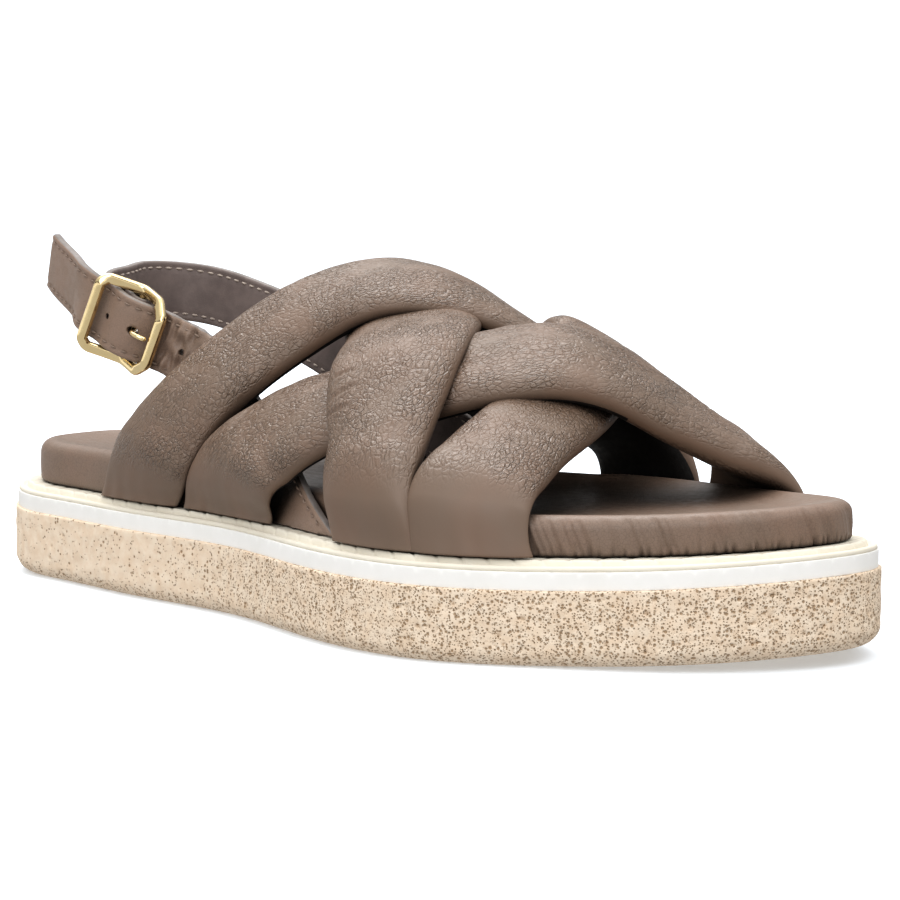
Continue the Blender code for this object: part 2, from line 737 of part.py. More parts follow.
def make_inner_ribbon():
    """Medial half: from the welt round the back of the heel, folded over the buckle's pivot."""
    turn_radius = PIVOT_RADIUS + GAP + FOLD_THICKNESS / 2
    angles = np.radians(np.linspace(-90.0, 90.0, FOLD_TURN_STEPS))
    fold = [(turn_radius * np.cos(angle), BUCKLE_LOW + turn_radius * np.sin(angle)) for angle in angles]
    local = [*INNER_AT_PIVOT, *fold, *INNER_RETURN]
    ribbon = ribbon_solid("heel_strap_inner", INNER_RIBBON, local, FOLD_THICKNESS)
    low = (SLOT_BACK, -SLOT_HALF_WIDTH, SLOT_LOW)
    high = (SLOT_FRONT, SLOT_HALF_WIDTH, SLOT_HIGH)
    combine(ribbon, add_helper("prong_slot", *block(low, high, buckle_point), "leather"), "DIFFERENCE")
    return ribbon


# Buckle


def frame_corners():
    """Corners of the frame's middle line as (u, v), with chamfers, and points along its rails."""
    length, height = BUCKLE_HALF_LENGTH, BUCKLE_HALF_HEIGHT
    front, rear = BUCKLE_CHAMFER_FRONT, BUCKLE_CHAMFER_REAR
    rail = np.linspace(length - front, rear - length, FRAME_RAIL_POINTS)
    corners = [(length, front - height), (length, height - front)]
    corners += [(u, height) for u in rail]
    corners += [(-length, height - rear), (-length, rear - height)]
    corners += [(u, -height) for u in rail[::-1]]
    return np.array(corners)


def frame_height(u):
    share = (np.abs(u) / BUCKLE_HALF_LENGTH) ** BUCKLE_BOW_POWER
    return BUCKLE_LOW + (BUCKLE_HIGH - BUCKLE_LOW) * share


def frame_section():
    """Corners of the frame bar's section: across the bar in its plane, and out from it."""
    wide, thick, bevel = BUCKLE_BAR_WIDTH / 2, BUCKLE_BAR_THICKNESS / 2, BUCKLE_BAR_BEVEL
    quarter = ((wide, thick - bevel), (wide - bevel, thick))
    corners = list(quarter)
    corners += [(-x, y) for x, y in reversed(quarter)]
    corners += [(-x, -y) for x, y in quarter]
    corners += [(x, -y) for x, y in reversed(quarter)]
    return corners


def make_buckle_frame():
    """A bowed frame of one bar, with a thinner pivot bar across its middle."""
    corners = frame_corners()
    before = unit(corners - np.roll(corners, 1, axis=0))
    after = unit(np.roll(corners, -1, axis=0) - corners)
    middle = unit(before + after)
    aside = np.stack([middle[:, 1], -middle[:, 0]], axis=1)
    aside /= (middle * before).sum(axis=1, keepdims=True)
    section = frame_section()
    points = []
    for (u, v), (side_u, side_v) in zip(corners, aside):
        for wide, thick in section:
            points.append(buckle_point(u + wide * side_u, v + wide * side_v, frame_height(u) + thick))
    frame = add_solid("buckle_frame", points, tube_faces(len(corners), len(section), closed=True), "brass")
    angles = np.linspace(0.0, 2 * np.pi, PIVOT_SIDES, endpoint=False)
    pivot = []
    for v in (-BUCKLE_HALF_HEIGHT, BUCKLE_HALF_HEIGHT):
        for angle in angles:
            n = BUCKLE_LOW + PIVOT_RADIUS * np.sin(angle)
            pivot.append(buckle_point(PIVOT_RADIUS * np.cos(angle), v, n))
    combine(frame, add_helper("pivot_bar", pivot, tube_faces(2, PIVOT_SIDES), "brass"), "UNION")
    return frame


def make_prong():
    """A round prong hooked on the pivot, through the strap's hole and up to the front bar."""
    hook_radius = PIVOT_RADIUS + GAP + PRONG_RADIUS
    start, turn = PRONG_HOOK
    angles = np.radians(start - np.linspace(0.0, turn, PRONG_HOOK_STEPS))
    line = [(hook_radius * np.cos(angle), BUCKLE_LOW + hook_radius * np.sin(angle)) for angle in angles]
    line = np.array(line + list(PRONG_REACH))
    forward = unit(np.gradient(line, along(line), axis=0))
    points = []
    for (u, n), (step_u, step_n) in zip(line, forward):
        for angle in np.linspace(0.0, 2 * np.pi, PRONG_SIDES, endpoint=False):
            aside = PRONG_RADIUS * np.cos(angle)
            across = PRONG_RADIUS * np.sin(angle)
            points.append(buckle_point(u - step_n * aside, across, n + step_u * aside))
    return add_solid("buckle_prong", points, tube_faces(len(line), PRONG_SIDES), "brass")


# Finishes and the whole sandal


def add_finish(name, finish):
    material = bpy.data.materials.new(name)
    material.use_nodes = True
    shader = material.node_tree.nodes["Principled BSDF"]
    shader.inputs["Base Color"].default_value = (*finish.colour, 1.0)
    shader.inputs["Roughness"].default_value = finish.roughness
    shader.inputs["Metallic"].default_value = finish.metallic


def main():
    for thing in list(bpy.data.objects):
        bpy.data.objects.remove(thing)
    for name, finish in FINISHES.items():
        add_finish(name, finish)
    make_layer("outsole", OUTSOLE_EDGE, "crepe")
    make_layer("midsole", MIDSOLE_EDGE, "white_rubber")
    make_layer("welt", WELT_EDGE, "cream_rubber")
    make_footbed()
    make_upper()
    make_outer_ribbon()
    make_inner_ribbon()
    make_buckle_frame()
    make_prong()


main()
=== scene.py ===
"""Looks of the leather sandal: its sole, footbed, padded straps, heel strap and buckle as finished
surfaces, each in the place of the solid that it stands for, with a pale floor, soft studio light
and a camera at the photograph's angle.

Sizes are millimetres. x runs forward from the back of the heel, y towards the big toe's side
(medial) and z up from the floor. The finished pieces are moved so that the middle of the sole
is the origin, and are scaled to metres.
"""

from collections import namedtuple
from itertools import product

import bmesh
import bpy
import numpy as np
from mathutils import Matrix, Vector


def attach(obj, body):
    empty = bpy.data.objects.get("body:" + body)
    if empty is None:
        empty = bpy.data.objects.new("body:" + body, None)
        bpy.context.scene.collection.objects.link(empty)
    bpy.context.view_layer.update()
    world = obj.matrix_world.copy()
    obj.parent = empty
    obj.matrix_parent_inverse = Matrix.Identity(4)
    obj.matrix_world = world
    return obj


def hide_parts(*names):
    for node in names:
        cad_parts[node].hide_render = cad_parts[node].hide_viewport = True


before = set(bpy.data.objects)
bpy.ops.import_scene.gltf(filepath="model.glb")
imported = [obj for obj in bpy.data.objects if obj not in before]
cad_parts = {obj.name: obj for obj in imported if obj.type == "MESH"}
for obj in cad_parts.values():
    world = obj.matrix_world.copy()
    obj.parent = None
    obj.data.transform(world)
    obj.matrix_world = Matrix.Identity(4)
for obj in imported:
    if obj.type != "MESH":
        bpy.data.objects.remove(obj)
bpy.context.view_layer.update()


def table(fields, *rows):
    """Rows of values whose columns have names."""
    kind = namedtuple("Row", fields)
    return tuple(kind(*row) for row in rows)


# Units, the part's body and small distances
MM = 0.001
GAP = 0.3
SMALL_STEP = 1e-3
SMOOTH_ALL = 180.0
BODY = "root"

# Soft unevenness: its height, its shortest and longest wave, and how many waves are added up
Unevenness = namedtuple("Unevenness", "height lengths count")

# Sole outline: its lateral and its medial edge at each distance from the heel
HEEL_POINT = (0.0, 1.0)
TOE_POINT = (265.0, 5.0)
OUTLINE = table(
    "x lateral medial",
    (3.0, -17.0, 16.0),
    (15.0, -27.5, 28.0),
    (29.0, -30.5, 33.0),
    (65.0, -37.0, 32.0),
    (106.0, -42.0, 31.5),
    (146.0, -55.5, 41.0),
    (185.0, -59.0, 47.0),
    (213.0, -47.5, 43.0),
    (241.0, -31.5, 33.0),
    (258.0, -14.0, 21.0),
)
OUTLINE_SAMPLES = 2400
OUTLINE_WRAP = 5
TOE_SPRING = 4.0
TOE_SPRING_START = 195.0
TOE_SPRING_RUN = 70.0
HEEL_RISE = 1.2
HEEL_RISE_RUN = 30.0

# Crepe outsole: round lower edge, wall and small upper edge, with real pores in the wall
OUTSOLE_STEPS = 900
OUTSOLE_ROUND_INSET = 4.4
OUTSOLE_ROUND_HEIGHT = 4.2
OUTSOLE_TOP = 17.75
OUTSOLE_BEVEL = 0.5
OUTSOLE_ROUND_ROWS = 10
OUTSOLE_WALL_ROWS = 30
OUTSOLE_BEVEL_ROWS = 3
PORE_COUNT = 3000
PORE_SEED = 11
PORE_RADIUS = (0.3, 0.7)
PORE_SKEW = 3
PORE_STRETCH = (0.8, 1.5)
PORE_DEPTH_SHARE = 0.75
PORE_LEVELS = (0.8, 17.0)
PORE_LEAST_SHARE = 0.04
PORE_TOE_SHARE = 0.66
PORE_TOE_SPAN = (60.0, 190.0)
PORE_EDGE_SHARE = 0.3
PORE_EDGE_SPAN = (9.0, 2.0)
CREPE_LUMPS = Unevenness(0.1, (2.5, 9.0), 40)

# White midsole band, and cream welt with its edge as pairs of inset and height
BAND_STEPS = 800
BAND_INSET = 0.7
BAND_LOW = 17.7
BAND_TOP = 22.0
BAND_BEVEL = 0.25
BAND_WALL_ROWS = 6
BEVEL_ROWS = 5
WELT_STEPS = 800
WELT_ROWS = 26
WELT_EDGE = (
    (1.5, 21.95),
    (1.0, 22.25),
    (1.2, 23.0),
    (2.3, 23.1),
    (2.9, 22.7),
    (3.5, 23.9),
    (4.3, 24.4),
)
NOTCH_PITCH = 6.5
NOTCH_SLANT = 1.6
NOTCH_WIDTH = 0.5
NOTCH_DEPTH = 0.35
NOTCH_ROWS = (2.4, 4.3)
DENT_DEPTH = 0.3
DENT_ROWS = (20.9, 21.9)
DENT_PHASE = 0.5

# Footbed: wall with a rounded edge, and a dish
FOOTBED_STEPS = 900
FOOTBED_BOTTOM = 24.7
FOOTBED_INSET = 7.0
FOOTBED_RIM_TOE = 34.0
FOOTBED_RIM_HEEL = 35.8
FOOTBED_RIM_CHANGE = (50.0, 130.0)
FOOTBED_FOOT_INSET = 0.7
FOOTBED_FOOT_HEIGHT = 1.0
FOOTBED_EDGE_RADIUS = 3.6
FOOTBED_BELLY = 0.1
FOOTBED_WALL_ROWS = 12
FOOTBED_EDGE_ROWS = 12
DISH_DEPTH = 2.2
DISH_POWER = 4
DISH_END_SHARE = 0.2
DISH_COLUMNS = 30
RECESS_DEPTH = 3.8
RECESS_EASE = 10.0
RECESS_LATERAL = (88.0, 166.0)
RECESS_MEDIAL = (112.0, 172.0)
GATHERS = Unevenness(0.38, (2.66, 6.08), 7)
GATHER_SEED = 11
GATHER_SPAN = (165.0, 210.0)
GATHER_SLANT = 4.0
GATHER_CHANGE = 0.15
GATHER_LEVEL = 0.5
GATHER_FADE = 0.8
PLEAT_SPAN = (205.0, 220.0)
PLEAT_PITCH = 3.0
PLEAT_JITTER = (0.2, 0.8)
PLEAT_DEPTH = 0.55
PLEAT_WIDTH = 0.4
PLEAT_REACH = (0.25, 0.6)
PLEAT_SEED = 5

# Last under the straps: height of its crest, and how square each side of its section is
LAST = table(
    "x crest",
    (50.0, 83.0),
    (75.0, 86.7),
    (97.0, 79.3),
    (122.0, 70.5),
    (150.0, 65.6),
    (170.0, 59.4),
    (210.0, 37.6),
    (240.0, 27.5),
)
LAST_BASE = 24.9
LAST_INSET = 6.9
LAST_SQUARENESS_LATERAL = 1.63
LAST_SQUARENESS_MEDIAL = 1.93
CREST_SHIFT = 15.0
LAST_EDGE_STATIONS = np.linspace(30.0, 240.0, 22)

# Padded straps: x of the middle line and width at equal steps from the lateral to the medial root,
# thickness, and the height that clears the footbed's rim at each root
Strap = namedtuple("Strap", "route widths thickness lateral_rim medial_rim")
STRAPS = {
    "rear_strap": Strap(
        (66.1, 92.6, 113.2, 141.8, 166.9, 175.5), (32.3, 25.5, 27.5, 26.0, 24.5, 28.5), 10.8, 1.4, 1.6
    ),
    "front_strap": Strap(
        (104.6, 134.1, 170.0, 198.6, 209.0, 207.5), (39.1, 30.0, 30.0, 26.0, 27.0, 32.0), 10.7, 3.2, 2.9
    ),
    "rear_cross_strap": Strap(
        (167.3, 157.5, 136.6, 109.0, 98.5, 93.0), (26.7, 25.3, 32.0, 30.0, 32.0, 38.0), 10.4, 2.8, 1.4
    ),
    "front_cross_strap": Strap(
        (193.0, 187.2, 182.3, 170.5, 146.0, 118.5), (27.3, 24.5, 24.5, 23.0, 27.0, 33.0), 9.9, 3.7, 1.6
    ),
}
WEAVE = table(
    "over under",
    ("rear_strap", "rear_cross_strap"),
    ("front_cross_strap", "rear_strap"),
    ("rear_cross_strap", "front_strap"),
    ("front_strap", "front_cross_strap"),
)
WEAVE_RISE = 5.8
WEAVE_DIP = 2.9
WEAVE_SPREAD = 22.0
STRAP_CLEARANCE = 1.0
STRAP_ROOT_CLEARANCE = 0.9
STRAP_ROOT_THICKNESS = 3.4
ROOT_SPREAD_LENGTH = 38.0
ROOT_SWELL_LENGTH = 19.0
ROOT_LEAVE_LENGTH = 8.0
ROOT_SETTLE = (9.0, 23.0)
PILLOW_FLATNESS = 2.6
PILLOW_ROUNDNESS = 2.2
CROSSING_SEARCH = np.linspace(0.02, 0.98, 193)
STRAP_STEPS = 480
STRAP_COLUMNS = 48
LINING_EDGE = 0.97
LINING_STOP = {"front_strap": 45.0}
STRAP_OFFSET = 400.0

# Soft unevenness of the padded straps, gathers along their edges and puckers at their roots
PUFF = Unevenness(0.28, (14.0, 34.0), 14)
RIPPLE = Unevenness(0.16, (3.0, 7.0), 9)
RIPPLE_WAY = (1.0, 0.35)
RIPPLE_REACH = 0.55
PUCKER = Unevenness(0.12, (3.5, 7.0), 6)
PUCKER_WAY = (0.3, 1.0)
PUCKER_FADE = 9.0

# Where the pebbled grain shows on the straps
GRAIN_PATCHES = Unevenness(0.2, (18.0, 40.0), 10)
GRAIN_PATCH_REACH = 12.0
GRAIN_USUAL = 0.85
GRAIN_CROWN = 0.94
GRAIN_ROOT = (8.0, 16.0)

# Creases of the straps: share of the way along, place across from -1 to 1, and the trough's form
CREASES = table(
    "strap along across reach width depth slant",
    ("rear_cross_strap", 0.19, 0.75, 5.0, 0.7, 0.5, 4.0),
    ("rear_cross_strap", 0.22, 0.65, 6.0, 0.7, 0.5, -4.0),
    ("rear_cross_strap", 0.26, 0.7, 5.0, 0.7, 0.4, 6.0),
    ("front_strap", 0.13, 0.6, 5.0, 0.8, 0.35, 35.0),
    ("front_strap", 0.66, 0.1, 6.0, 0.5, 0.16, 42.0),
    ("front_strap", 0.70, -0.2, 6.0, 0.5, 0.18, 38.0),
    ("front_strap", 0.74, 0.2, 6.0, 0.5, 0.2, 40.0),
    ("front_strap", 0.78, 0.0, 6.0, 0.5, 0.2, 36.0),
    ("front_strap", 0.83, 0.1, 6.0, 0.5, 0.2, 34.0),
    ("front_cross_strap", 0.14, 0.3, 6.0, 0.6, 0.25, 12.0),
    ("front_cross_strap", 0.18, -0.3, 6.0, 0.6, 0.25, -8.0),
)
CREASE_RIDGE = 0.3
CREASE_RIDGE_PLACE = 2
CREASE_END_POWER = 4

# Heel strap in two pieces: middle line, and the lean of its upper edge towards the medial side
RIBBON_WIDTH = 16.0
RIBBON_THICKNESS = 2.4
RIBBON_STEPS = 14
RIBBON_COLUMNS = 29
RIBBON_ROUND = 0.8
RIBBON_SMOOTH_ANGLE = 50.0
OUTER_RIBBON = table(
    "x y z lean",
    (152.0, -48.9, 14.5, 0.0),
    (133.0, -42.4, 25.5, 9.0),
    (118.0, -35.0, 34.0, 22.0),
    (103.0, -27.7, 42.6, 25.0),
    (88.0, -21.4, 51.2, 21.0),
)
OUTER_TAIL = table(
    "x y z lean",
    (34.5, -23.2, 77.9, 0.0),
    (26.0, -19.9, 81.3, 0.0),
    (17.5, -16.5, 84.8, 0.0),
)
INNER_RIBBON = table(
    "x y z lean",
    (162.0, 36.4, 13.0, 0.0),
    (147.0, 32.8, 24.0, 0.0),
    (130.0, 28.1, 35.5, 0.0),
    (112.0, 23.0, 47.5, 0.0),
    (95.0, 21.0, 57.5, 0.0),
    (74.0, 21.6, 66.2, 2.0),
    (52.0, 22.4, 72.0, 4.0),
    (39.0, 21.4, 74.6, 3.0),
    (30.3, 15.0, 75.9, 0.0),
    (28.8, 6.0, 76.2, 0.0),
    (33.2, -4.0, 75.6, 0.0),
)
STITCH_INSET = 1.9
STITCH_PITCH = 3.0
STITCH_SHARE = 0.66
STITCH_RADIUS = 0.28
STITCH_SIDES = 6
STITCH_RINGS = 5
STITCH_LOWEST = 26.0
STITCH_RISE = 0.9
STITCH_DIP = 1.2
STITCH_FULLNESS = 1.15
GROOVE_DEPTH = 0.22
GROOVE_WIDTH = 0.55
EDGE_PAINT_COLUMNS = 2
EDGE_PAINT_MATERIAL = 2
WRINKLES = Unevenness(0.5, (1.7, 3.2), 6)
WRINKLE_SLANT = 0.4
WRINKLE_EASE = 3.0
WRINKLE_SEED = 3
WRINKLED_KNOTS = (4, 7)

# Buckle: its middle, the way the strap runs through it (forward and down), and its frame
BUCKLE_MIDDLE = (53.6, -23.2, 69.4)
BUCKLE_TURN = 14.0
BUCKLE_SLOPE = 22.5
BUCKLE_HALF_LENGTH = 10.3
BUCKLE_HALF_HEIGHT = 9.8
BUCKLE_CHAMFER_FRONT = 3.4
BUCKLE_CHAMFER_REAR = 1.6
BUCKLE_BAR_WIDTH = 2.9
BUCKLE_BAR_THICKNESS = 2.4
BUCKLE_LOW = -2.0
BUCKLE_HIGH = 3.6
BUCKLE_BOW_POWER = 1.2
FRAME_SQUARENESS = 2.8
FRAME_SIDES = 40
FRAME_CORNER_CUT = 0.9
FRAME_CORNER_STEPS = 6
FRAME_RAIL_STEP = 0.6
PIVOT_RADIUS = 1.1
PIVOT_SIDES = 24
PIVOT_SMOOTH_ANGLE = 40.0

# Places in the buckle's own frame, as pairs: along the strap (u, forward) and out from it (n)
OUTER_THROUGH_BUCKLE = (
    (20.0, -0.8),
    (13.0, -0.9),
    (9.5, -0.6),
    (7.0, 0.2),
    (4.0, 1.9),
    (0.0, 2.8),
    (-4.0, 1.9),
    (-7.0, 0.2),
    (-9.5, -0.6),
    (-13.0, -0.9),
)
STRAP_HOLES = table(
    "u half_length half_width",
    (-6.0, 0.8, 0.8),
    (3.2, 1.6, 1.1),
    (9.2, 0.8, 0.8),
    (17.2, 0.8, 0.8),
)
HOLE_SIDES = 28
CUTTER_REACH = 6.0
TRIM_LOW = (0.0, -100.0, -50.0)
TRIM_HIGH = (300.0, 100.0, 24.7)
INNER_AT_PIVOT = ((-11.0, -4.6), (-6.0, -4.3), (-2.5, -4.1))
INNER_RETURN = ((-2.5, -0.9), (-5.5, -2.3))
FOLD_THICKNESS = 1.4
FOLD_TURN_STEPS = 6
SLOT_HALF_WIDTH = 1.9
SLOT_BACK = -3.6
SLOT_FRONT = 4.2
SLOT_LOW = -6.5
SLOT_HIGH = 1.3
PRONG_RADIUS = 0.65
PRONG_SIDES = 16
PRONG_STEPS = 90
PRONG_TIP = 0.7
PRONG_TIP_CUT = 0.95
PRONG_HOOK = (-25.0, 270.0)
PRONG_HOOK_STEPS = 9
PRONG_REACH = (
    (1.5, 0.4),
    (2.5, 1.3),
    (3.3, 3.2),
    (4.2, 5.0),
    (5.4, 5.5),
    (8.5, 4.6),
)

# Colours: the pairs that each surface is mottled between, and single tones
CREPE_TONES = ((0.82, 0.655, 0.495), (0.89, 0.755, 0.605))
CREPE_PORE = (0.33, 0.2, 0.1)
WHITE_TONES = ((0.92, 0.91, 0.885), (0.89, 0.88, 0.85))
CREAM_TONES = ((0.81, 0.76, 0.65), (0.78, 0.725, 0.61))
STRAP_TONES = ((0.182, 0.126, 0.09), (0.197, 0.128, 0.089))
FOOTBED_TONES = ((0.222, 0.158, 0.119), (0.236, 0.16, 0.118))
HEEL_STRAP_TONES = ((0.275, 0.197, 0.15), (0.29, 0.2, 0.15))
# Strap lining: near black, partly its own dark colour and partly painted shade under the straps
STRAP_LINING_AND_SHADE_TONES = ((0.01, 0.009, 0.008), (0.016, 0.014, 0.013))
HEEL_LINING_TONES = ((0.165, 0.13, 0.12), (0.22, 0.175, 0.16))
EDGE_PAINT_TONES = ((0.19, 0.165, 0.15), (0.27, 0.24, 0.225))
BROWN_THREAD_TONES = ((0.2, 0.145, 0.11), (0.3, 0.225, 0.18))
PALE_THREAD_TONES = ((0.4, 0.33, 0.28), (0.6, 0.52, 0.46))
GOLD_TONES = ((0.86, 0.67, 0.35), (0.93, 0.77, 0.47))
FLOOR_TONES = ((0.88, 0.93, 0.99), (0.9, 0.95, 1.0))
FLOOR_GLOW_TONE = (0.85, 0.93, 1.0, 1.0)
WORN_TAUPE = (0.225, 0.167, 0.13)
CRACK_TAUPE = (0.07, 0.047, 0.034)
SHADE_TONE = (0.025, 0.017, 0.013)

# Finishes: how patterns are spread, stretched and shaded, with scales per millimetre
NOISE_DETAIL = 3.0
NOISE_ROUGHNESS = 0.55
WARP_DETAIL = 2.0
MIDDLE_GREY = (0.5, 0.5, 0.5)
MIX_COLOUR_INPUTS = (6, 7)
MIX_COLOUR_OUTPUT = 2
Shade = namedtuple("Shade", "reach closed open")
CREASE_SHADE = Shade(12.0, 0.05, 0.75)
HOLLOW_SHADE = Shade(80.0, 0.25, 0.9)
SHADE_SAMPLES = 4
CREPE_TOE_SPAN = (-70.0, 20.0)
CREPE_TOE_SHARE = (0.14, 1.0)
CREPE_LOW_SPAN = (1.5, 5.0)
FOAM_SIZES = (0.26, 0.58)
FOAM_DISORDER = 0.8
PEBBLE_STRETCH = (0.72, 1.0, 1.0)
SMALL_PEBBLE_STRETCH = (0.7, 1.0, 1.0)
GOLD_STRETCH = (0.3, 2.0, 2.0)
THREAD_STRETCH = (3.0, 1.0, 3.0)
FOOTBED_PORE_SCALE = 1.3
HEEL_STRAP_PORE_SCALE = 1.8
WHITE_ROUGHNESS = (0.44, 0.56)
CREAM_ROUGHNESS = (0.54, 0.66)
FLOOR_ROUGHNESS = 0.8
FLOOR_GLOW = 0.18

# Camera, light and floor
CAMERA_PLACE = (653.9, -598.2, 128.9)
CAMERA_AZIMUTH = 41.07
CAMERA_ELEVATION = 7.11
CAMERA_LENS = 126.35
CAMERA_SHIFT = (0.0394, 0.0451)
EXPOSURE = 0.08
FLOOR_RADIUS = 30.0
FLOOR_SIDES = 96
SOFTBOXES = table(
    "name place target size power",
    ("overhead_softbox", (-0.55, 0.3, 1.2), (0.0, 0.0, 0.0), 1.1, 9.0),
    ("toe_softbox", (0.9, -0.3, 1.2), (0.0, 0.0, 0.04), 0.7, 2.4),
    ("front_fill", (0.3, -0.9, 0.5), (0.0, 0.0, 0.04), 0.6, 2.3),
)
SKY = table(
    "height light",
    (-0.05, 0.5),
    (0.0, 1.0),
    (0.12, 0.9),
    (0.16, 0.06),
    (0.23, 0.06),
    (0.28, 0.5),
    (0.5, 0.5),
    (0.75, 1.1),
    (1.0, 1.3),
)


# Curves and vectors


def spline(knots, values, at):
    """A cubic through every knot, with one cubic over the first two spans and the last two."""
    knots = np.asarray(knots, float)
    values = np.asarray(values, float)
    at = np.asarray(at, float)
    count = len(knots)
    step = np.diff(knots)
    slope = (np.diff(values, axis=0).T / step).T
    matrix = np.zeros((count, count))
    right = np.zeros(values.shape)
    for i in range(1, count - 1):
        matrix[i, i - 1 : i + 2] = step[i - 1], 2 * (step[i - 1] + step[i]), step[i]
        right[i] = 6 * (slope[i] - slope[i - 1])
    matrix[0, :3] = step[1], -step[0] - step[1], step[0]
    matrix[-1, -3:] = step[-1], -step[-1] - step[-2], step[-2]
    bend = np.linalg.solve(matrix, right)
    span = np.clip(np.searchsorted(knots, at) - 1, 0, count - 2)
    width = step[span]
    before = knots[span + 1] - at
    after = at - knots[span]
    pad = (...,) + (None,) * (values.ndim - 1)
    cubic = bend[span] * (before**3 / (6 * width))[pad] + bend[span + 1] * (after**3 / (6 * width))[pad]
    start = values[span] / width[pad] - bend[span] * (width / 6)[pad]
    end = values[span + 1] / width[pad] - bend[span + 1] * (width / 6)[pad]
    return cubic + start * before[pad] + end * after[pad]


def along(points):
    """Distance along a line of points, from its start."""
    return np.concatenate([[0.0], np.cumsum(np.linalg.norm(np.diff(points, axis=0), axis=1))])


def unit(vectors):
    return vectors / np.linalg.norm(vectors, axis=-1, keepdims=True)


def dot(first, second):
    return (first * second).sum(axis=-1)


def ease(value, start=0.0, end=1.0):
    """A soft change from 0 at the start to 1 at the end."""
    share = np.clip((value - start) / (end - start), 0.0, 1.0)
    return share * share * (3 - 2 * share)


def within(value, start, end, soft):
    """1 between start and end, with a soft change to 0 just inside both."""
    return ease((value - start) / soft) * ease((end - value) / soft)


def bell(value):
    return np.exp(-(value**2))


def waves(places, kind, seed):
    """Seeded unevenness over places of one or more axes, mostly within its height up and down."""
    draw = np.random.default_rng(seed)
    total = np.zeros(places.shape[:-1])
    for _ in range(kind.count):
        way = unit(draw.normal(size=places.shape[-1]))
        length = draw.uniform(*kind.lengths)
        total += np.cos(2 * np.pi * dot(places, way) / length + draw.uniform(0.0, 2 * np.pi))
    return kind.height * total / np.sqrt(kind.count)


def full_turn(count):
    """Equal angles all the way round."""
    return np.linspace(0.0, 2 * np.pi, count, endpoint=False)


def quarter_turn(count):
    return np.linspace(0.0, np.pi / 2, count)


def line_at(at, distance, points):
    """Points at given distances along a line, straight between its own points."""
    return np.stack([np.interp(at, distance, values) for values in points.T], axis=-1)


# Sole outline


def closed_outline():
    """The sole's outline as close points, from the heel along the lateral side and back."""
    lateral = [(row.x, row.lateral) for row in OUTLINE]
    medial = [(row.x, row.medial) for row in reversed(OUTLINE)]
    points = np.array([HEEL_POINT, *lateral, TOE_POINT, *medial])
    around = np.vstack([points[-OUTLINE_WRAP:], points, points[: OUTLINE_WRAP + 1]])
    distance = along(around)
    start = distance[OUTLINE_WRAP]
    end = distance[OUTLINE_WRAP + len(points)]
    return spline(distance, around, np.linspace(start, end, OUTLINE_SAMPLES, endpoint=False))


def outline_normals(points):
    step = np.roll(points, -1, axis=0) - np.roll(points, 1, axis=0)
    return unit(np.stack([step[:, 1], -step[:, 0]], axis=1))


OUTLINE_POINTS = closed_outline()
OUTLINE_NORMALS = outline_normals(OUTLINE_POINTS)
HEEL_INDEX = int(OUTLINE_POINTS[:, 0].argmin())
TOE_INDEX = int(OUTLINE_POINTS[:, 0].argmax())
ORIGIN = (OUTLINE_POINTS.min(axis=0) + OUTLINE_POINTS.max(axis=0)) / 2


def side_indices(lateral):
    """Outline samples of one side, from heel to toe."""
    start, end = (HEEL_INDEX, TOE_INDEX) if lateral else (TOE_INDEX, HEEL_INDEX)
    if end < start:
        end += OUTLINE_SAMPLES
    chosen = np.arange(start, end + 1) % OUTLINE_SAMPLES
    return chosen if lateral else chosen[::-1]


def side_at(x, lateral, inset):
    """Points of one side of the outline at distances x, moved inwards by inset."""
    chosen = side_indices(lateral)
    place = np.maximum.accumulate(OUTLINE_POINTS[chosen, 0])
    y = np.interp(x, place, OUTLINE_POINTS[chosen, 1])
    return np.stack([x, y], axis=-1) - inset * unit(line_at(x, place, OUTLINE_NORMALS[chosen]))


def floor_rise(x):
    toe = np.clip((x - TOE_SPRING_START) / TOE_SPRING_RUN, 0.0, None)
    heel = np.clip((HEEL_RISE_RUN - x) / HEEL_RISE_RUN, 0.0, None)
    return TOE_SPRING * toe**2 + HEEL_RISE * heel**2


def side_line(lateral, steps):
    """Places and outward ways of one side, from heel to toe at even steps."""
    chosen = side_indices(lateral)
    distance = along(OUTLINE_POINTS[chosen])
    at = np.linspace(0.0, distance[-1], steps + 1)
    places = line_at(at, distance, OUTLINE_POINTS[chosen])
    return places, unit(line_at(at, distance, OUTLINE_NORMALS[chosen]))


def whole_line(steps):
    """The outline from the heel along the lateral side to the toe and back on the medial side."""
    lateral, lateral_way = side_line(True, steps)
    medial, medial_way = side_line(False, steps)
    return np.vstack([lateral, medial[-2:0:-1]]), np.vstack([lateral_way, medial_way[-2:0:-1]])


def sole_rows(steps, inset, height):
    """Points of a sole surface: a row for each inset and height, a column for each outline place."""
    places, ways = whole_line(steps)
    flat = places - ways * np.broadcast_to(inset, (len(inset), 2 * steps))[..., None]
    level = np.broadcast_to(height, flat.shape[:2]) + floor_rise(flat[..., 0])
    return np.concatenate([flat, level[..., None]], axis=-1)


# Meshes


def add_mesh(name, points, faces, materials, smooth_angle=SMOOTH_ALL):
    """A mesh object from points in millimetres, shaded smooth."""
    moved = (np.asarray(points).reshape(-1, 3) - np.append(ORIGIN, 0.0)) * MM
    mesh = bpy.data.meshes.new(name)
    mesh.from_pydata(moved.tolist(), [], [list(map(int, face)) for face in faces])
    work = bmesh.new()
    work.from_mesh(mesh)
    bmesh.ops.recalc_face_normals(work, faces=work.faces)
    work.to_mesh(mesh)
    work.free()
    mesh.shade_smooth()
    if smooth_angle < SMOOTH_ALL:
        mesh.set_sharp_from_angle(angle=np.radians(smooth_angle))
    for material in materials:
        mesh.materials.append(material)
    thing = bpy.data.objects.new(name, mesh)
    bpy.context.scene.collection.objects.link(thing)
    return thing


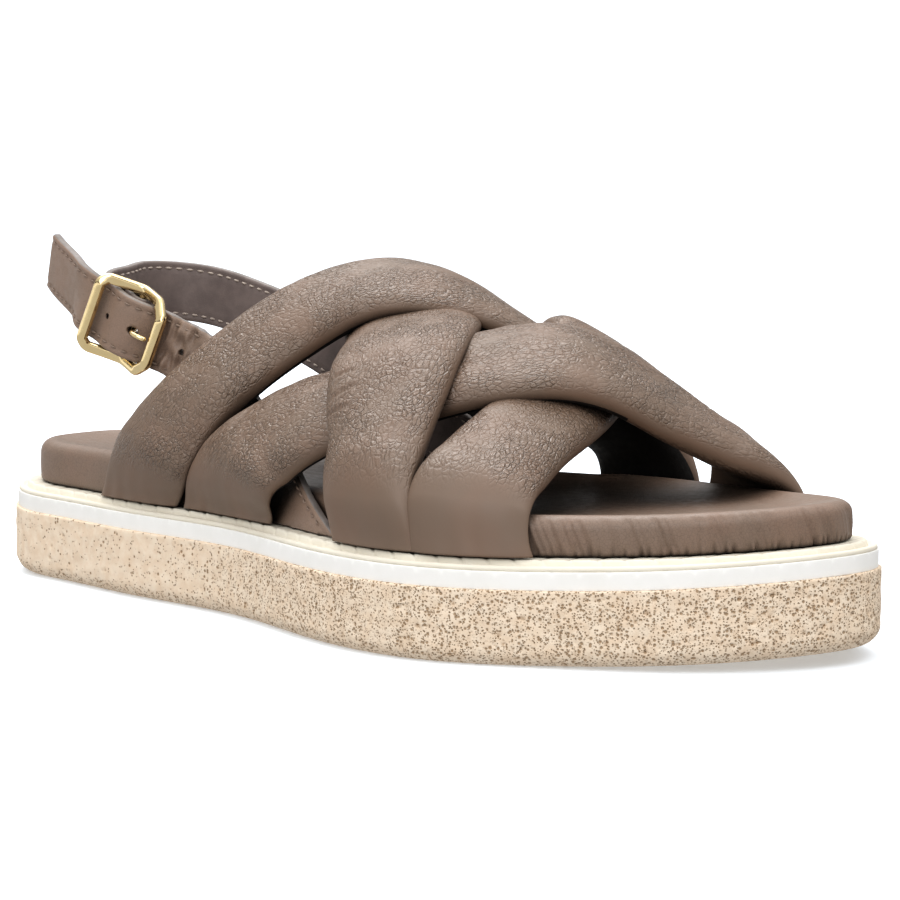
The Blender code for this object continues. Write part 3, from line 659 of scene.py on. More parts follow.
def add_piece(name, node, points, faces, materials, smooth_angle=SMOOTH_ALL):
    """A finished piece that stands for a solid."""
    piece = add_mesh(name, points, faces, materials, smooth_angle)
    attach(piece, BODY)
    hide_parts(node)
    return piece


def add_numbers(piece, name, values):
    """A number for each point of a mesh, for its material."""
    numbers = piece.data.attributes.new(name, "FLOAT", "POINT")
    numbers.data.foreach_set("value", np.asarray(values, np.float32).ravel())


def add_places(piece, places):
    """A place in millimetres on the flat leather for each point of a mesh, for its grain."""
    vectors = piece.data.attributes.new("place", "FLOAT_VECTOR", "POINT")
    vectors.data.foreach_set("vector", np.asarray(places, np.float32).ravel())


def set_face_materials(piece, kinds):
    """Gives each face of a tube the number of its material, and both end caps the first."""
    per_face = np.append(np.ravel(kinds), [0, 0])
    piece.data.polygons.foreach_set("material_index", per_face.astype(np.int32))


def cut(thing, name, points, faces):
    """Takes a shape out of a mesh and leaves no modifier or helper behind."""
    helper = add_mesh(name, points, faces, [])
    change = thing.modifiers.new(name, "BOOLEAN")
    change.operation = "DIFFERENCE"
    change.solver = "EXACT"
    change.object = helper
    changed = bpy.data.meshes.new_from_object(thing.evaluated_get(bpy.context.evaluated_depsgraph_get()))
    thing.modifiers.remove(change)
    thing.data = changed
    bpy.data.objects.remove(helper)


def band_faces(rows, columns):
    """Quads between the rows of a surface that closes on itself."""
    row, column = np.meshgrid(np.arange(rows - 1), np.arange(columns), indexing="ij")
    here = row * columns + column
    beside = row * columns + (column + 1) % columns
    return np.stack([here, beside, beside + columns, here + columns], axis=-1).reshape(-1, 4).tolist()


def tube_faces(rings, sides, closed=False):
    """Faces of a row of rings, capped at both ends unless the row closes on itself."""
    faces = band_faces(rings, sides)
    if closed:
        last = (rings - 1) * sides
        faces += [(last + j, last + (j + 1) % sides, (j + 1) % sides, j) for j in range(sides)]
    else:
        faces.append(range(sides))
        faces.append(range((rings - 1) * sides, rings * sides))
    return faces


def ladder_faces(first, steps):
    """Faces that close a ring of the sole, in strips from side to side."""
    count = 2 * steps
    faces = [(first, first + 1, first + count - 1)]
    for i in range(1, steps - 1):
        faces.append((first + i, first + i + 1, first + count - i - 1, first + count - i))
    faces.append((first + steps - 1, first + steps, first + steps + 1))
    return faces


def add_layer(name, node, rows, material):
    """A closed layer of the sole from its rows: its side, its underside and its top."""
    steps = rows.shape[1] // 2
    faces = band_faces(len(rows), 2 * steps) + ladder_faces(0, steps)
    faces += ladder_faces((len(rows) - 1) * 2 * steps, steps)
    return add_piece(name, node, rows, faces, [material])


# Sole


def outsole_profile():
    """Inset and height of each row, from the tread round the lower edge and up the wall."""
    turn = quarter_turn(OUTSOLE_ROUND_ROWS)
    low = OUTSOLE_TOP - OUTSOLE_BEVEL
    wall = np.linspace(OUTSOLE_ROUND_HEIGHT, low, OUTSOLE_WALL_ROWS)[1:]
    edge = quarter_turn(OUTSOLE_BEVEL_ROWS + 1)[1:]
    inset = [OUTSOLE_ROUND_INSET * (1 - np.sin(turn)), 0 * wall, OUTSOLE_BEVEL * (1 - np.cos(edge))]
    height = [OUTSOLE_ROUND_HEIGHT * (1 - np.cos(turn)), wall, low + OUTSOLE_BEVEL * np.sin(edge)]
    return np.concatenate(inset), np.concatenate(height)


def pore_share(x, height):
    """How likely a pore is at a place of the wall: more towards the toe and the lower edge."""
    toe = PORE_TOE_SHARE * ease(x, *PORE_TOE_SPAN)
    return PORE_LEAST_SHARE + toe + PORE_EDGE_SHARE * ease(height, *PORE_EDGE_SPAN)


def pores(x, height, pitch):
    """Depth of seeded pores over the wall's rows and columns."""
    draw = np.random.default_rng(PORE_SEED)
    depth = np.zeros((len(height), len(x)))
    small, large = PORE_RADIUS
    for _ in range(PORE_COUNT):
        column = draw.uniform(0, len(x))
        level = draw.uniform(*PORE_LEVELS)
        radius = small + (large - small) * draw.random() ** PORE_SKEW
        half_length = radius * draw.uniform(*PORE_STRETCH)
        if draw.random() > pore_share(x[int(column)], level):
            continue
        reach = int(np.ceil(half_length / pitch)) + 1
        columns = np.arange(int(column) - reach, int(column) + reach + 1)
        rows = np.flatnonzero(np.abs(height - level) < radius)
        aside = (columns - column) * pitch / half_length
        above = (height[rows] - level) / radius
        hollow = PORE_DEPTH_SHARE * radius * np.clip(1 - aside**2 - above[:, None] ** 2, 0.0, None)
        place = np.ix_(rows, columns % len(x))
        depth[place] = np.maximum(depth[place], hollow)
    return depth


def make_outsole(material):
    inset, height = outsole_profile()
    places, _ = whole_line(OUTSOLE_STEPS)
    pitch = along(places)[-1] / len(places)
    depth = pores(places[:, 0], height, pitch)
    rows = sole_rows(OUTSOLE_STEPS, inset[:, None], height[:, None])
    wall = ease(height / OUTSOLE_ROUND_HEIGHT)[:, None]
    lumps = wall * waves(rows, CREPE_LUMPS, PORE_SEED)
    rows = sole_rows(OUTSOLE_STEPS, inset[:, None] + depth + lumps, height[:, None])
    piece = add_layer("crepe_outsole", "outsole", rows, material)
    add_numbers(piece, "pore", depth)


def stitch_marks(steps, shift):
    """Distance of each place round the sole from the nearest pressed stitch mark."""
    places, _ = whole_line(steps)
    around = along(places)
    count = round(around[-1] / NOTCH_PITCH)
    phase = (around * count / around[-1] + shift) % 1.0
    return np.minimum(phase, 1 - phase) * NOTCH_PITCH


def make_midsole(material):
    turn = quarter_turn(BEVEL_ROWS)
    low, high = BAND_LOW + BAND_BEVEL, BAND_TOP - BAND_BEVEL
    wall = np.linspace(low, high, BAND_WALL_ROWS)[1:-1]
    inset = [BAND_BEVEL * (1 - np.sin(turn)), 0 * wall, BAND_BEVEL * (1 - np.cos(turn))]
    height = [low - BAND_BEVEL * np.cos(turn), wall, high + BAND_BEVEL * np.sin(turn)]
    inset = BAND_INSET + np.concatenate(inset)[:, None]
    height = np.concatenate(height)[:, None]
    marks = bell(stitch_marks(BAND_STEPS, DENT_PHASE) / NOTCH_WIDTH)
    dents = DENT_DEPTH * ease(height, *DENT_ROWS) * marks
    rows = sole_rows(BAND_STEPS, inset + dents, height)
    add_layer("white_midsole", "midsole", rows, material)


def make_welt(material):
    """The rim: a lip, a groove and a raised inner band pressed with slanting stitch marks."""
    edge = np.array(WELT_EDGE)
    profile = spline(along(edge), edge, np.linspace(0.0, along(edge)[-1], WELT_ROWS))
    inset, height = profile[:, :1], profile[:, 1:]
    away = stitch_marks(WELT_STEPS, NOTCH_SLANT * inset / NOTCH_PITCH)
    band = ease(inset, *NOTCH_ROWS) * (np.arange(WELT_ROWS) > WELT_ROWS / 2)[:, None]
    notch = NOTCH_DEPTH * bell(away / NOTCH_WIDTH) * band
    rows = sole_rows(WELT_STEPS, inset + notch, height - notch)
    add_layer("cream_welt", "welt", rows, material)


def rim_height(x):
    return FOOTBED_RIM_HEEL + (FOOTBED_RIM_TOE - FOOTBED_RIM_HEEL) * ease(x, *FOOTBED_RIM_CHANGE)


def footbed_recess(x):
    """How far the wall stands back on each side where the heel strap is tucked in."""
    lateral = within(x, *RECESS_LATERAL, RECESS_EASE)
    medial = within(x, *RECESS_MEDIAL, RECESS_EASE)
    return RECESS_DEPTH * np.where(np.arange(len(x)) <= FOOTBED_STEPS, lateral, medial)


def gathers(x, distance, rise):
    """Slanting folds of the leather drawn round the toe, fading out near the top of the wall."""
    places = np.stack([distance + GATHER_SLANT * rise, GATHER_CHANGE * rise], axis=-1)
    ridges = np.abs(waves(places, GATHERS, GATHER_SEED)) - GATHER_LEVEL * GATHERS.height
    return ease(x, *GATHER_SPAN) * ridges * (1 - ease(rise, GATHER_FADE, 1.0))


def pleat_cuts(x, distance, rise):
    """Short upright cuts between the pleats at the foot of the toe's wall."""
    draw = np.random.default_rng(PLEAT_SEED)
    count = int(distance[-1] / PLEAT_PITCH)
    places = (np.arange(count) + draw.uniform(*PLEAT_JITTER, count)) * PLEAT_PITCH
    reach = draw.uniform(*PLEAT_REACH, count)
    nearest = np.abs(distance[:, None] - places).argmin(axis=1)
    away = bell((distance - places[nearest]) / PLEAT_WIDTH)
    return PLEAT_DEPTH * ease(x, *PLEAT_SPAN) * away * (1 - ease(rise / reach[nearest]))


def footbed_profile(rim):
    """Inset and height of the wall's rows, from its small round foot up over its round edge."""
    radius = FOOTBED_EDGE_RADIUS
    foot = quarter_turn(BEVEL_ROWS)[:, None]
    wall = np.linspace(0.0, 1.0, FOOTBED_WALL_ROWS)[1:, None]
    edge = quarter_turn(FOOTBED_EDGE_ROWS)[1:, None]
    low = FOOTBED_BOTTOM + FOOTBED_FOOT_HEIGHT
    inset = [
        FOOTBED_FOOT_INSET * (1 - np.sin(foot)),
        -FOOTBED_BELLY * np.sin(np.pi * wall),
        radius * (1 - np.cos(edge)),
    ]
    height = [
        low - FOOTBED_FOOT_HEIGHT * np.cos(foot) + 0 * rim,
        low + wall * (rim - radius - low),
        rim - radius + radius * np.sin(edge),
    ]
    return FOOTBED_INSET + np.concatenate(inset), np.concatenate(height)


def make_footbed(material):
    places, _ = whole_line(FOOTBED_STEPS)
    x, distance = places[:, 0], along(places)
    rim = rim_height(x)[None]
    inset, height = footbed_profile(rim)
    rise = (height - FOOTBED_BOTTOM) / (rim - FOOTBED_BOTTOM)
    inset = inset + footbed_recess(x) + gathers(x, distance, rise) + pleat_cuts(x, distance, rise)
    rows = sole_rows(FOOTBED_STEPS, inset, height)
    rim_start = (len(rows) - 1) * 2 * FOOTBED_STEPS
    faces = band_faces(len(rows), 2 * FOOTBED_STEPS) + ladder_faces(0, FOOTBED_STEPS)
    faces += dish_faces(rim_start, rim_start + 2 * FOOTBED_STEPS)
    points = np.vstack([rows.reshape(-1, 3), dish_points(rows[-1])])
    piece = add_piece("leather_footbed", "footbed", points, faces, [material])
    hollow = np.zeros(len(points))
    hollow[-(FOOTBED_STEPS - 1) * DISH_COLUMNS :] = dish_hollow().ravel()
    add_numbers(piece, "hollow", hollow)


def dish_hollow():
    """How sunk each point of the dish is, from 0 at the rim to 1: a row for each step."""
    share = np.linspace(0.0, 1.0, DISH_COLUMNS + 2)[1:-1]
    steps = np.arange(1, FOOTBED_STEPS)
    end = np.minimum(steps, FOOTBED_STEPS - steps) / FOOTBED_STEPS
    return ease(end / DISH_END_SHARE)[:, None] * (1 - (2 * share - 1) ** DISH_POWER)


def dish_points(rim_ring):
    """Rows of points from side to side, sunk below the rim towards the middle."""
    share = np.linspace(0.0, 1.0, DISH_COLUMNS + 2)[1:-1, None]
    lateral, medial = rim_ring[1:FOOTBED_STEPS, None], rim_ring[:FOOTBED_STEPS:-1, None]
    points = lateral + (medial - lateral) * share
    points[..., 2] -= DISH_DEPTH * dish_hollow()
    return points.reshape(-1, 3)


def dish_faces(rim_start, dish_start):
    """Faces between the rim ring and the rows of the dish."""

    def row_of(i):
        start = dish_start + (i - 1) * DISH_COLUMNS
        inner = list(range(start, start + DISH_COLUMNS))
        return [rim_start + i, *inner, rim_start + 2 * FOOTBED_STEPS - i]

    heel, toe = row_of(1), row_of(FOOTBED_STEPS - 1)
    faces = [(rim_start, a, b) for a, b in zip(heel, heel[1:])]
    for i in range(1, FOOTBED_STEPS - 1):
        here, there = row_of(i), row_of(i + 1)
        for j in range(DISH_COLUMNS + 1):
            faces.append((here[j], here[j + 1], there[j + 1], there[j]))
    faces += [(rim_start + FOOTBED_STEPS, b, a) for a, b in zip(toe, toe[1:])]
    return faces


# Last and straps


def last_edge(x, lateral):
    chosen = np.linspace(0.0, TOE_POINT[0], OUTLINE_SAMPLES)
    edge = side_at(chosen, lateral, LAST_INSET)
    sampled = np.interp(LAST_EDGE_STATIONS, np.maximum.accumulate(edge[:, 0]), edge[:, 1])
    return spline(LAST_EDGE_STATIONS, sampled, x)


def last_point(x, turn):
    """A point of the last: turn runs from pi at the lateral base over the crest to 0."""
    lateral, medial = last_edge(x, True), last_edge(x, False)
    across, up = np.cos(turn), np.sin(turn)
    change = (LAST_SQUARENESS_MEDIAL - LAST_SQUARENESS_LATERAL) / 2
    power = LAST_SQUARENESS_LATERAL + change * (1 + across)
    reach = (np.abs(across) ** power + np.abs(up) ** power) ** (1 / power)
    crest = spline([row.x for row in LAST], [row.crest for row in LAST], x)
    y = (lateral + medial) / 2 + (medial - lateral) / 2 * across / reach
    y = y + CREST_SHIFT * np.clip(up, 0.0, None) ** 2
    z = LAST_BASE + (crest - LAST_BASE) * up / reach + floor_rise(x)
    return np.stack([x, y, z], axis=-1)


def last_directions(x, turn):
    """How a point of the last moves with x and with turn, and the way out from it."""
    step = SMALL_STEP
    with_x = (last_point(x + step, turn) - last_point(x - step, turn)) / (2 * step)
    with_turn = (last_point(x, turn + step) - last_point(x, turn - step)) / (2 * step)
    return with_x, with_turn, unit(np.cross(with_turn, with_x))


def steps_at(steps, share):
    """A value given at equal steps of a strap, at any share of the way along it."""
    return spline(np.linspace(0.0, 1.0, len(steps)), steps, share)


def route_at(strap, share):
    return steps_at(strap.route, share)


def crossing_share(first, second):
    """How far along both straps they cross, since equal shares lie at equal turns."""
    share = CROSSING_SEARCH
    apart = route_at(first, share) - route_at(second, share)
    i = int(np.flatnonzero(np.diff(np.sign(apart)))[0])
    return share[i] - apart[i] * (share[i + 1] - share[i]) / (apart[i + 1] - apart[i])


def weave_height(name, share, distance):
    """Rise where the strap passes over another and dip where it passes under."""
    height = np.zeros_like(distance)
    for crossing in WEAVE:
        if name not in crossing:
            continue
        at = crossing_share(STRAPS[crossing.over], STRAPS[crossing.under])
        middle = np.interp(at, share, distance)
        amount = WEAVE_RISE if name == crossing.over else -WEAVE_DIP
        height += amount * bell((distance - middle) / WEAVE_SPREAD)
    return height


def strap_grid(strap, share, columns):
    """Points of the last under the strap, the ways out from them, and distance along it."""
    x, turn = route_at(strap, share), np.pi * (1 - share)
    with_x, with_turn, out = last_directions(x, turn)
    pace = (route_at(strap, share + SMALL_STEP) - route_at(strap, share - SMALL_STEP)) / (2 * SMALL_STEP)
    forward = unit(with_x * pace[:, None] - with_turn * np.pi)
    across = unit(np.cross(out, forward))
    xx = dot(with_x, with_x)
    xt = dot(with_x, with_turn)
    tt = dot(with_turn, with_turn)
    on_x = dot(with_x, across)
    on_turn = dot(with_turn, across)
    area = xx * tt - xt**2
    step_x = (tt * on_x - xt * on_turn) / area
    step_turn = (xx * on_turn - xt * on_x) / area
    distance = along(last_point(x, turn))
    from_lateral = ease(distance / ROOT_SPREAD_LENGTH)
    from_medial = ease((distance[-1] - distance) / ROOT_SPREAD_LENGTH)
    free = from_lateral * from_medial
    facing = np.sign(step_x.mean()) / 2
    width = steps_at(strap.widths, share)
    reach_x = free * step_x * width / 2
    reach_x += facing * ((1 - from_lateral) * strap.widths[0] + (1 - from_medial) * strap.widths[-1])
    reach_turn = free * step_turn * width / 2
    grid_x = x[:, None] + columns * reach_x[:, None]
    grid_turn = np.clip(turn[:, None] + columns * reach_turn[:, None], 0.0, np.pi)
    return last_point(grid_x, grid_turn), last_directions(grid_x, grid_turn)[2], distance


def crease_depth(name, distance, columns, half_width):
    """Troughs placed one by one, each with a low ridge on both sides."""
    total = np.zeros((len(distance), len(columns)))
    for crease in CREASES:
        if crease.strap != name:
            continue
        run = distance[:, None] - crease.along * distance[-1]
        side = (columns - crease.across) * half_width
        turn = np.radians(crease.slant)
        off = (run * np.cos(turn) - side * np.sin(turn)) / crease.width
        on = (run * np.sin(turn) + side * np.cos(turn)) / crease.reach
        trough = bell(off) - CREASE_RIDGE * bell(np.abs(off) - CREASE_RIDGE_PLACE)
        total += crease.depth * trough * np.exp(-(on**CREASE_END_POWER))
    return total


def flat_places(distance, across):
    """Distances along and across a strap as places on its flat leather."""
    shape = (len(distance), len(across))
    return np.stack([np.broadcast_to(distance[:, None], shape), np.broadcast_to(across, shape)], axis=-1)


def from_nearest_end(distance):
    return np.minimum(distance, distance[-1] - distance)


def strap_relief(name, seed, distance, columns, half_width):
    """Height of the leather's own unevenness over the smooth strap."""
    places = flat_places(distance, columns * half_width)
    edge = ease(np.abs(columns), RIPPLE_REACH, 1.0)
    root = np.exp(-from_nearest_end(distance) / PUCKER_FADE)[:, None]
    relief = waves(places, PUFF, seed)
    relief += edge * waves(places * RIPPLE_WAY, RIPPLE, seed + 1)
    relief += root * waves(places * PUCKER_WAY, PUCKER, seed + 2)
    return relief - crease_depth(name, distance, columns, half_width)


def grain_share(distance, columns, seed):
    """How much of the pebbled grain shows: full on the crown, stretched away at edges and roots."""
    patches = waves(flat_places(distance, GRAIN_PATCH_REACH * columns), GRAIN_PATCHES, seed)
    crown = 1 - ease(np.abs(columns), GRAIN_CROWN, 1.0)
    root = ease(from_nearest_end(distance), *GRAIN_ROOT)[:, None]
    return np.clip(crown * root * (GRAIN_USUAL + patches), 0.0, 1.0)


def there_and_back(first, second):
    """Columns of one face of a strap, and those of the other in reverse without the shared edges."""
    return np.concatenate([first, second[:, -2:0:-1]], axis=1)


def strap_rings(name, seed, columns):
    """Rings of a padded strap from its lateral to its medial root, and the distance along it."""
    strap = STRAPS[name]
    share = np.linspace(0.0, 1.0, STRAP_STEPS)
    points, out, distance = strap_grid(strap, share, columns)
    from_end = from_nearest_end(distance)
    swell = ease(from_end / ROOT_SWELL_LENGTH)
    leave = ease(from_end / ROOT_LEAVE_LENGTH)
    settle = ease(from_end, *ROOT_SETTLE)
    rim = np.where(distance < distance[-1] / 2, strap.lateral_rim, strap.medial_rim)
    thickness = STRAP_ROOT_THICKNESS + (strap.thickness - STRAP_ROOT_THICKNESS) * swell
    clearance = STRAP_ROOT_CLEARANCE + (rim - STRAP_ROOT_CLEARANCE) * leave
    clearance += (STRAP_CLEARANCE - rim + weave_height(name, share, distance)) * settle
    pillow = (1 - np.abs(columns) ** PILLOW_FLATNESS) ** (1 / PILLOW_ROUNDNESS)
    relief = strap_relief(name, seed, distance, columns, max(strap.widths) / 2)
    upper = clearance[:, None] + thickness[:, None] * (1 + pillow) / 2 + relief * pillow
    lower = clearance[:, None] + thickness[:, None] * (1 - pillow) / 2
    return there_and_back(points + out * upper[..., None], points + out * lower[..., None]), distance


def make_strap(name, seed, leather, lining):
    """One padded strap with its grain, and its lining on the inner face, near black partly as painted shade.
    """
    columns = np.sin(np.linspace(-1.0, 1.0, STRAP_COLUMNS) * np.pi / 2)
    rings, distance = strap_rings(name, seed, columns)
    piece = add_piece(name, "upper", rings, tube_faces(*rings.shape[:2]), [leather, lining])
    flat = np.zeros(rings.shape)
    flat[..., 0] = distance[:, None]
    flat[:, 1:, 1] = np.cumsum(np.linalg.norm(np.diff(rings, axis=1), axis=2), axis=1)
    flat[..., 2] = seed * STRAP_OFFSET
    add_places(piece, flat)
    grain = grain_share(distance, columns, seed)
    add_numbers(piece, "grain", there_and_back(grain, grain))
    around = np.concatenate([columns, columns[-2:0:-1]])
    inner = (np.arange(len(around)) >= STRAP_COLUMNS) & (np.abs(around) < LINING_EDGE)
    lined = distance[1:, None] < distance[-1] - LINING_STOP.get(name, 0.0)
    set_face_materials(piece, inner & lined)


# Heel strap


def buckle_axes():
    """Along the strap, across it upwards, and out from the shoe."""
    turn, slope = np.radians(BUCKLE_TURN), np.radians(BUCKLE_SLOPE)
    along_strap = np.array([np.cos(turn) * np.cos(slope), np.sin(turn) * np.cos(slope), -np.sin(slope)])
    out = np.array([np.sin(turn), -np.cos(turn), 0.0])
    return along_strap, np.cross(out, along_strap), out


def buckle_point(u, v, n):
    along_strap, across, out = buckle_axes()
    return np.array(BUCKLE_MIDDLE) + u * along_strap + v * across + n * out


def leaning(degrees):
    """The direction across a strap that stands on edge and leans towards the medial side."""
    return np.array([0.0, np.sin(np.radians(degrees)), np.cos(np.radians(degrees))])


Ribbon = namedtuple("Ribbon", "at points wide thick half bent")


def free_knots(rows):
    """Place, direction across and thickness of a heel strap piece where it is free."""
    return [((row.x, row.y, row.z), leaning(row.lean), RIBBON_THICKNESS) for row in rows]


def ribbon_lines(rows, local, local_thickness, tail=(), wrinkled=(0, 0)):
    """A heel strap piece's middle line with its directions: free part, buckle, free tail."""
    across_buckle = buckle_axes()[1]
    held = [(buckle_point(u, 0.0, n), across_buckle, local_thickness) for u, n in local]
    knots = free_knots(rows) + held + free_knots(tail)
    route, across, thickness = (np.array(values) for values in zip(*knots))
    distance = along(route)
    last = len(route) - 1
    at = np.interp(np.linspace(0.0, last, last * RIBBON_STEPS + 1), np.arange(last + 1), distance)
    points = spline(distance, route, at)
    forward = unit(np.gradient(points, at, axis=0))
    wide = line_at(at, distance, across)
    wide = unit(wide - forward * dot(wide, forward)[:, None])
    half = np.interp(at, distance, thickness) / 2
    start, end = (distance[knot] for knot in wrinkled)
    bent = within(at, start, end, WRINKLE_EASE)
    return Ribbon(at, points, wide, np.cross(forward, wide), half, bent)


def ribbon_rings(ribbon):
    """Rings of a flat strap with round edges and a shallow groove for each row of stitches."""
    edge = RIBBON_WIDTH / 2
    wide = edge * np.sin(np.linspace(1.0, -1.0, RIBBON_COLUMNS) * np.pi / 2)
    radius = np.minimum(RIBBON_ROUND, ribbon.half * RIBBON_ROUND)[:, None]
    inside = np.clip(np.abs(wide) - (edge - radius), 0.0, radius)
    drop = radius - np.sqrt(radius**2 - inside**2)
    groove = GROOVE_DEPTH * bell((np.abs(wide) - edge + STITCH_INSET) / GROOVE_WIDTH)
    places = flat_places(ribbon.at, WRINKLE_SLANT * wide)
    wrinkle = ribbon.bent[:, None] * waves(places, WRINKLES, WRINKLE_SEED)
    level = ribbon.half[:, None] + wrinkle - drop - groove
    middle = ribbon.points[:, None] + ribbon.wide[:, None] * wide[:, None]
    out = ribbon.thick[:, None] * level[..., None]
    return np.concatenate([middle + out, (middle - out)[:, ::-1]], axis=1)


BLOCK_FACES = ((0, 1, 3, 2), (4, 6, 7, 5), (0, 4, 5, 1), (2, 3, 7, 6), (0, 2, 6, 4), (1, 5, 7, 3))


def block_corners(low, high):
    return list(product(*zip(low, high)))


def hole_rings(hole):
    rings = []
    for n, angle in product((-CUTTER_REACH, CUTTER_REACH), full_turn(HOLE_SIDES)):
        u = hole.u + hole.half_length * np.cos(angle)
        rings.append(buckle_point(u, hole.half_width * np.sin(angle), n))
    return rings


def add_ribbon(name, node, ribbon, outer_face, materials):
    """A heel strap piece cut off level with the welt: leather outside, lining inside, painted edges."""
    rings = ribbon_rings(ribbon)
    faces = tube_faces(*rings.shape[:2])
    piece = add_piece(name, node, rings, faces, materials, RIBBON_SMOOTH_ANGLE)
    column = np.arange(rings.shape[1])
    lined = column >= RIBBON_COLUMNS if outer_face > 0 else column < RIBBON_COLUMNS
    from_edge = np.abs(column % RIBBON_COLUMNS - (RIBBON_COLUMNS - 2) / 2)
    painted = from_edge > RIBBON_COLUMNS / 2 - 1 - EDGE_PAINT_COLUMNS
    set_face_materials(piece, np.tile(np.where(painted, EDGE_PAINT_MATERIAL, lined), len(rings) - 1))
    cut(piece, "strap_trim", block_corners(TRIM_LOW, TRIM_HIGH), BLOCK_FACES)
    return piece


def stitch_rings(ribbon, place, side, face):
    """Rings of one stitch: a short thread that dips into the leather at both ends."""
    half = STITCH_PITCH * STITCH_SHARE / 2
    rings = []
    for step in np.linspace(-1.0, 1.0, STITCH_RINGS):
        at = place + step * half
        lines = (ribbon.points, ribbon.wide, ribbon.thick)
        point, wide, thick = (line_at(at, ribbon.at, line) for line in lines)
        level = np.interp(at, ribbon.at, ribbon.half) - GROOVE_DEPTH
        level += STITCH_RADIUS * (STITCH_RISE - STITCH_DIP * step**2)
        middle = point + wide * side * (RIBBON_WIDTH / 2 - STITCH_INSET) + thick * face * level
        size = STITCH_RADIUS * np.sqrt(STITCH_FULLNESS - step**2)
        angles = full_turn(STITCH_SIDES)
        rings.append([middle + size * (wide * np.cos(a) + thick * np.sin(a)) for a in angles])
    return np.array(rings)


def make_stitches(name, node, ribbon, length, material):
    """Rows of stitches along both edges of a heel strap piece, on both faces."""
    points, faces = [], []
    one = tube_faces(STITCH_RINGS, STITCH_SIDES)
    for side, face in product((-1, 1), (-1, 1)):
        for place in np.arange(STITCH_PITCH, length - STITCH_PITCH / 2, STITCH_PITCH):
            rings = stitch_rings(ribbon, place, side, face)
            if rings[..., 2].min() < STITCH_LOWEST:
                continue
            first = len(points) * STITCH_RINGS * STITCH_SIDES
            faces += [[first + corner for corner in face_corners] for face_corners in one]
            points.append(rings)
    add_piece(name, node, np.array(points), faces, [material])


def make_outer_ribbon(materials, thread):
    """Lateral half: from the welt behind the straps, through the buckle, to its free tip."""
    ribbon = ribbon_lines(OUTER_RIBBON, OUTER_THROUGH_BUCKLE, RIBBON_THICKNESS, OUTER_TAIL, WRINKLED_KNOTS)
    piece = add_ribbon("outer_heel_strap", "heel_strap_outer", ribbon, -1, materials)
    for hole in STRAP_HOLES:
        cut(piece, "strap_hole", hole_rings(hole), tube_faces(2, HOLE_SIDES))
    make_stitches("outer_heel_stitches", "heel_strap_outer", ribbon, ribbon.at[-1], thread)


def turned(radius, angles):
    """Places on a circle round the buckle's pivot, as distances along the strap and out from it."""
    return [(radius * np.cos(angle), BUCKLE_LOW + radius * np.sin(angle)) for angle in angles]


def make_inner_ribbon(materials, thread):
    """Medial half: from the welt round the back of the heel, folded over the buckle's pivot."""
    half_turn = np.linspace(-np.pi / 2, np.pi / 2, FOLD_TURN_STEPS)
    fold = turned(PIVOT_RADIUS + GAP + FOLD_THICKNESS / 2, half_turn)
    ribbon = ribbon_lines(INNER_RIBBON, [*INNER_AT_PIVOT, *fold, *INNER_RETURN], FOLD_THICKNESS)
    piece = add_ribbon("inner_heel_strap", "heel_strap_inner", ribbon, 1, materials)
    low = (SLOT_BACK, -SLOT_HALF_WIDTH, SLOT_LOW)
    high = (SLOT_FRONT, SLOT_HALF_WIDTH, SLOT_HIGH)
    slot = [buckle_point(*corner) for corner in block_corners(low, high)]
    cut(piece, "prong_slot", slot, BLOCK_FACES)
    free = ribbon.at[(len(INNER_RIBBON) + 1) * RIBBON_STEPS]
    make_stitches("inner_heel_stitches", "heel_strap_inner", ribbon, free, thread)


# Buckle


def frame_corners():
    """Corners of the frame's middle line as (u, v), with its chamfers."""
    length, height = BUCKLE_HALF_LENGTH, BUCKLE_HALF_HEIGHT
    front, rear = BUCKLE_CHAMFER_FRONT, BUCKLE_CHAMFER_REAR
    upper = [
        (length, height - front),
        (length - front, height),
        (rear - length, height),
        (-length, height - rear),
    ]
    return np.array(upper + [(u, -v) for u, v in reversed(upper)])


def rounded_loop(corners):
    """A closed line round the corners, each corner softened, with points close together."""
    line = []
    for i, corner in enumerate(corners):
        before, after = corners[i - 1], corners[(i + 1) % len(corners)]
        start = corner + unit(before - corner) * FRAME_CORNER_CUT
        end = corner + unit(after - corner) * FRAME_CORNER_CUT
        for t in np.linspace(0.0, 1.0, FRAME_CORNER_STEPS):
            line.append((1 - t) ** 2 * start + 2 * t * (1 - t) * corner + t**2 * end)
        reach = np.linalg.norm(after - corner) - 2 * FRAME_CORNER_CUT
        for t in np.linspace(0.0, 1.0, max(int(reach / FRAME_RAIL_STEP), 2))[1:-1]:
            line.append(end + unit(after - corner) * reach * t)
    return np.array(line)


def frame_height(u):
    share = (np.abs(u) / BUCKLE_HALF_LENGTH) ** BUCKLE_BOW_POWER
    return BUCKLE_LOW + (BUCKLE_HIGH - BUCKLE_LOW) * share


def rounded_square(size, share):
    """One coordinate of a soft-cornered square, from the sines or cosines of angles round it."""
    return size / 2 * np.sign(share) * np.abs(share) ** (2 / FRAME_SQUARENESS)


def make_buckle_frame(material):
    """A bowed frame of one soft-edged bar."""
    line = rounded_loop(frame_corners())
    ahead = unit(np.roll(line, -1, axis=0) - np.roll(line, 1, axis=0))
    aside = np.stack([ahead[:, 1], -ahead[:, 0]], axis=1)
    angles = full_turn(FRAME_SIDES)
    wide = rounded_square(BUCKLE_BAR_WIDTH, np.cos(angles))
    thick = rounded_square(BUCKLE_BAR_THICKNESS, np.sin(angles))
    points = []
    for (u, v), (side_u, side_v) in zip(line, aside):
        for w, t in zip(wide, thick):
            points.append(buckle_point(u + w * side_u, v + w * side_v, frame_height(u) + t))
    faces = tube_faces(len(line), FRAME_SIDES, closed=True)
    add_piece("gold_buckle_frame", "buckle_frame", points, faces, [material])


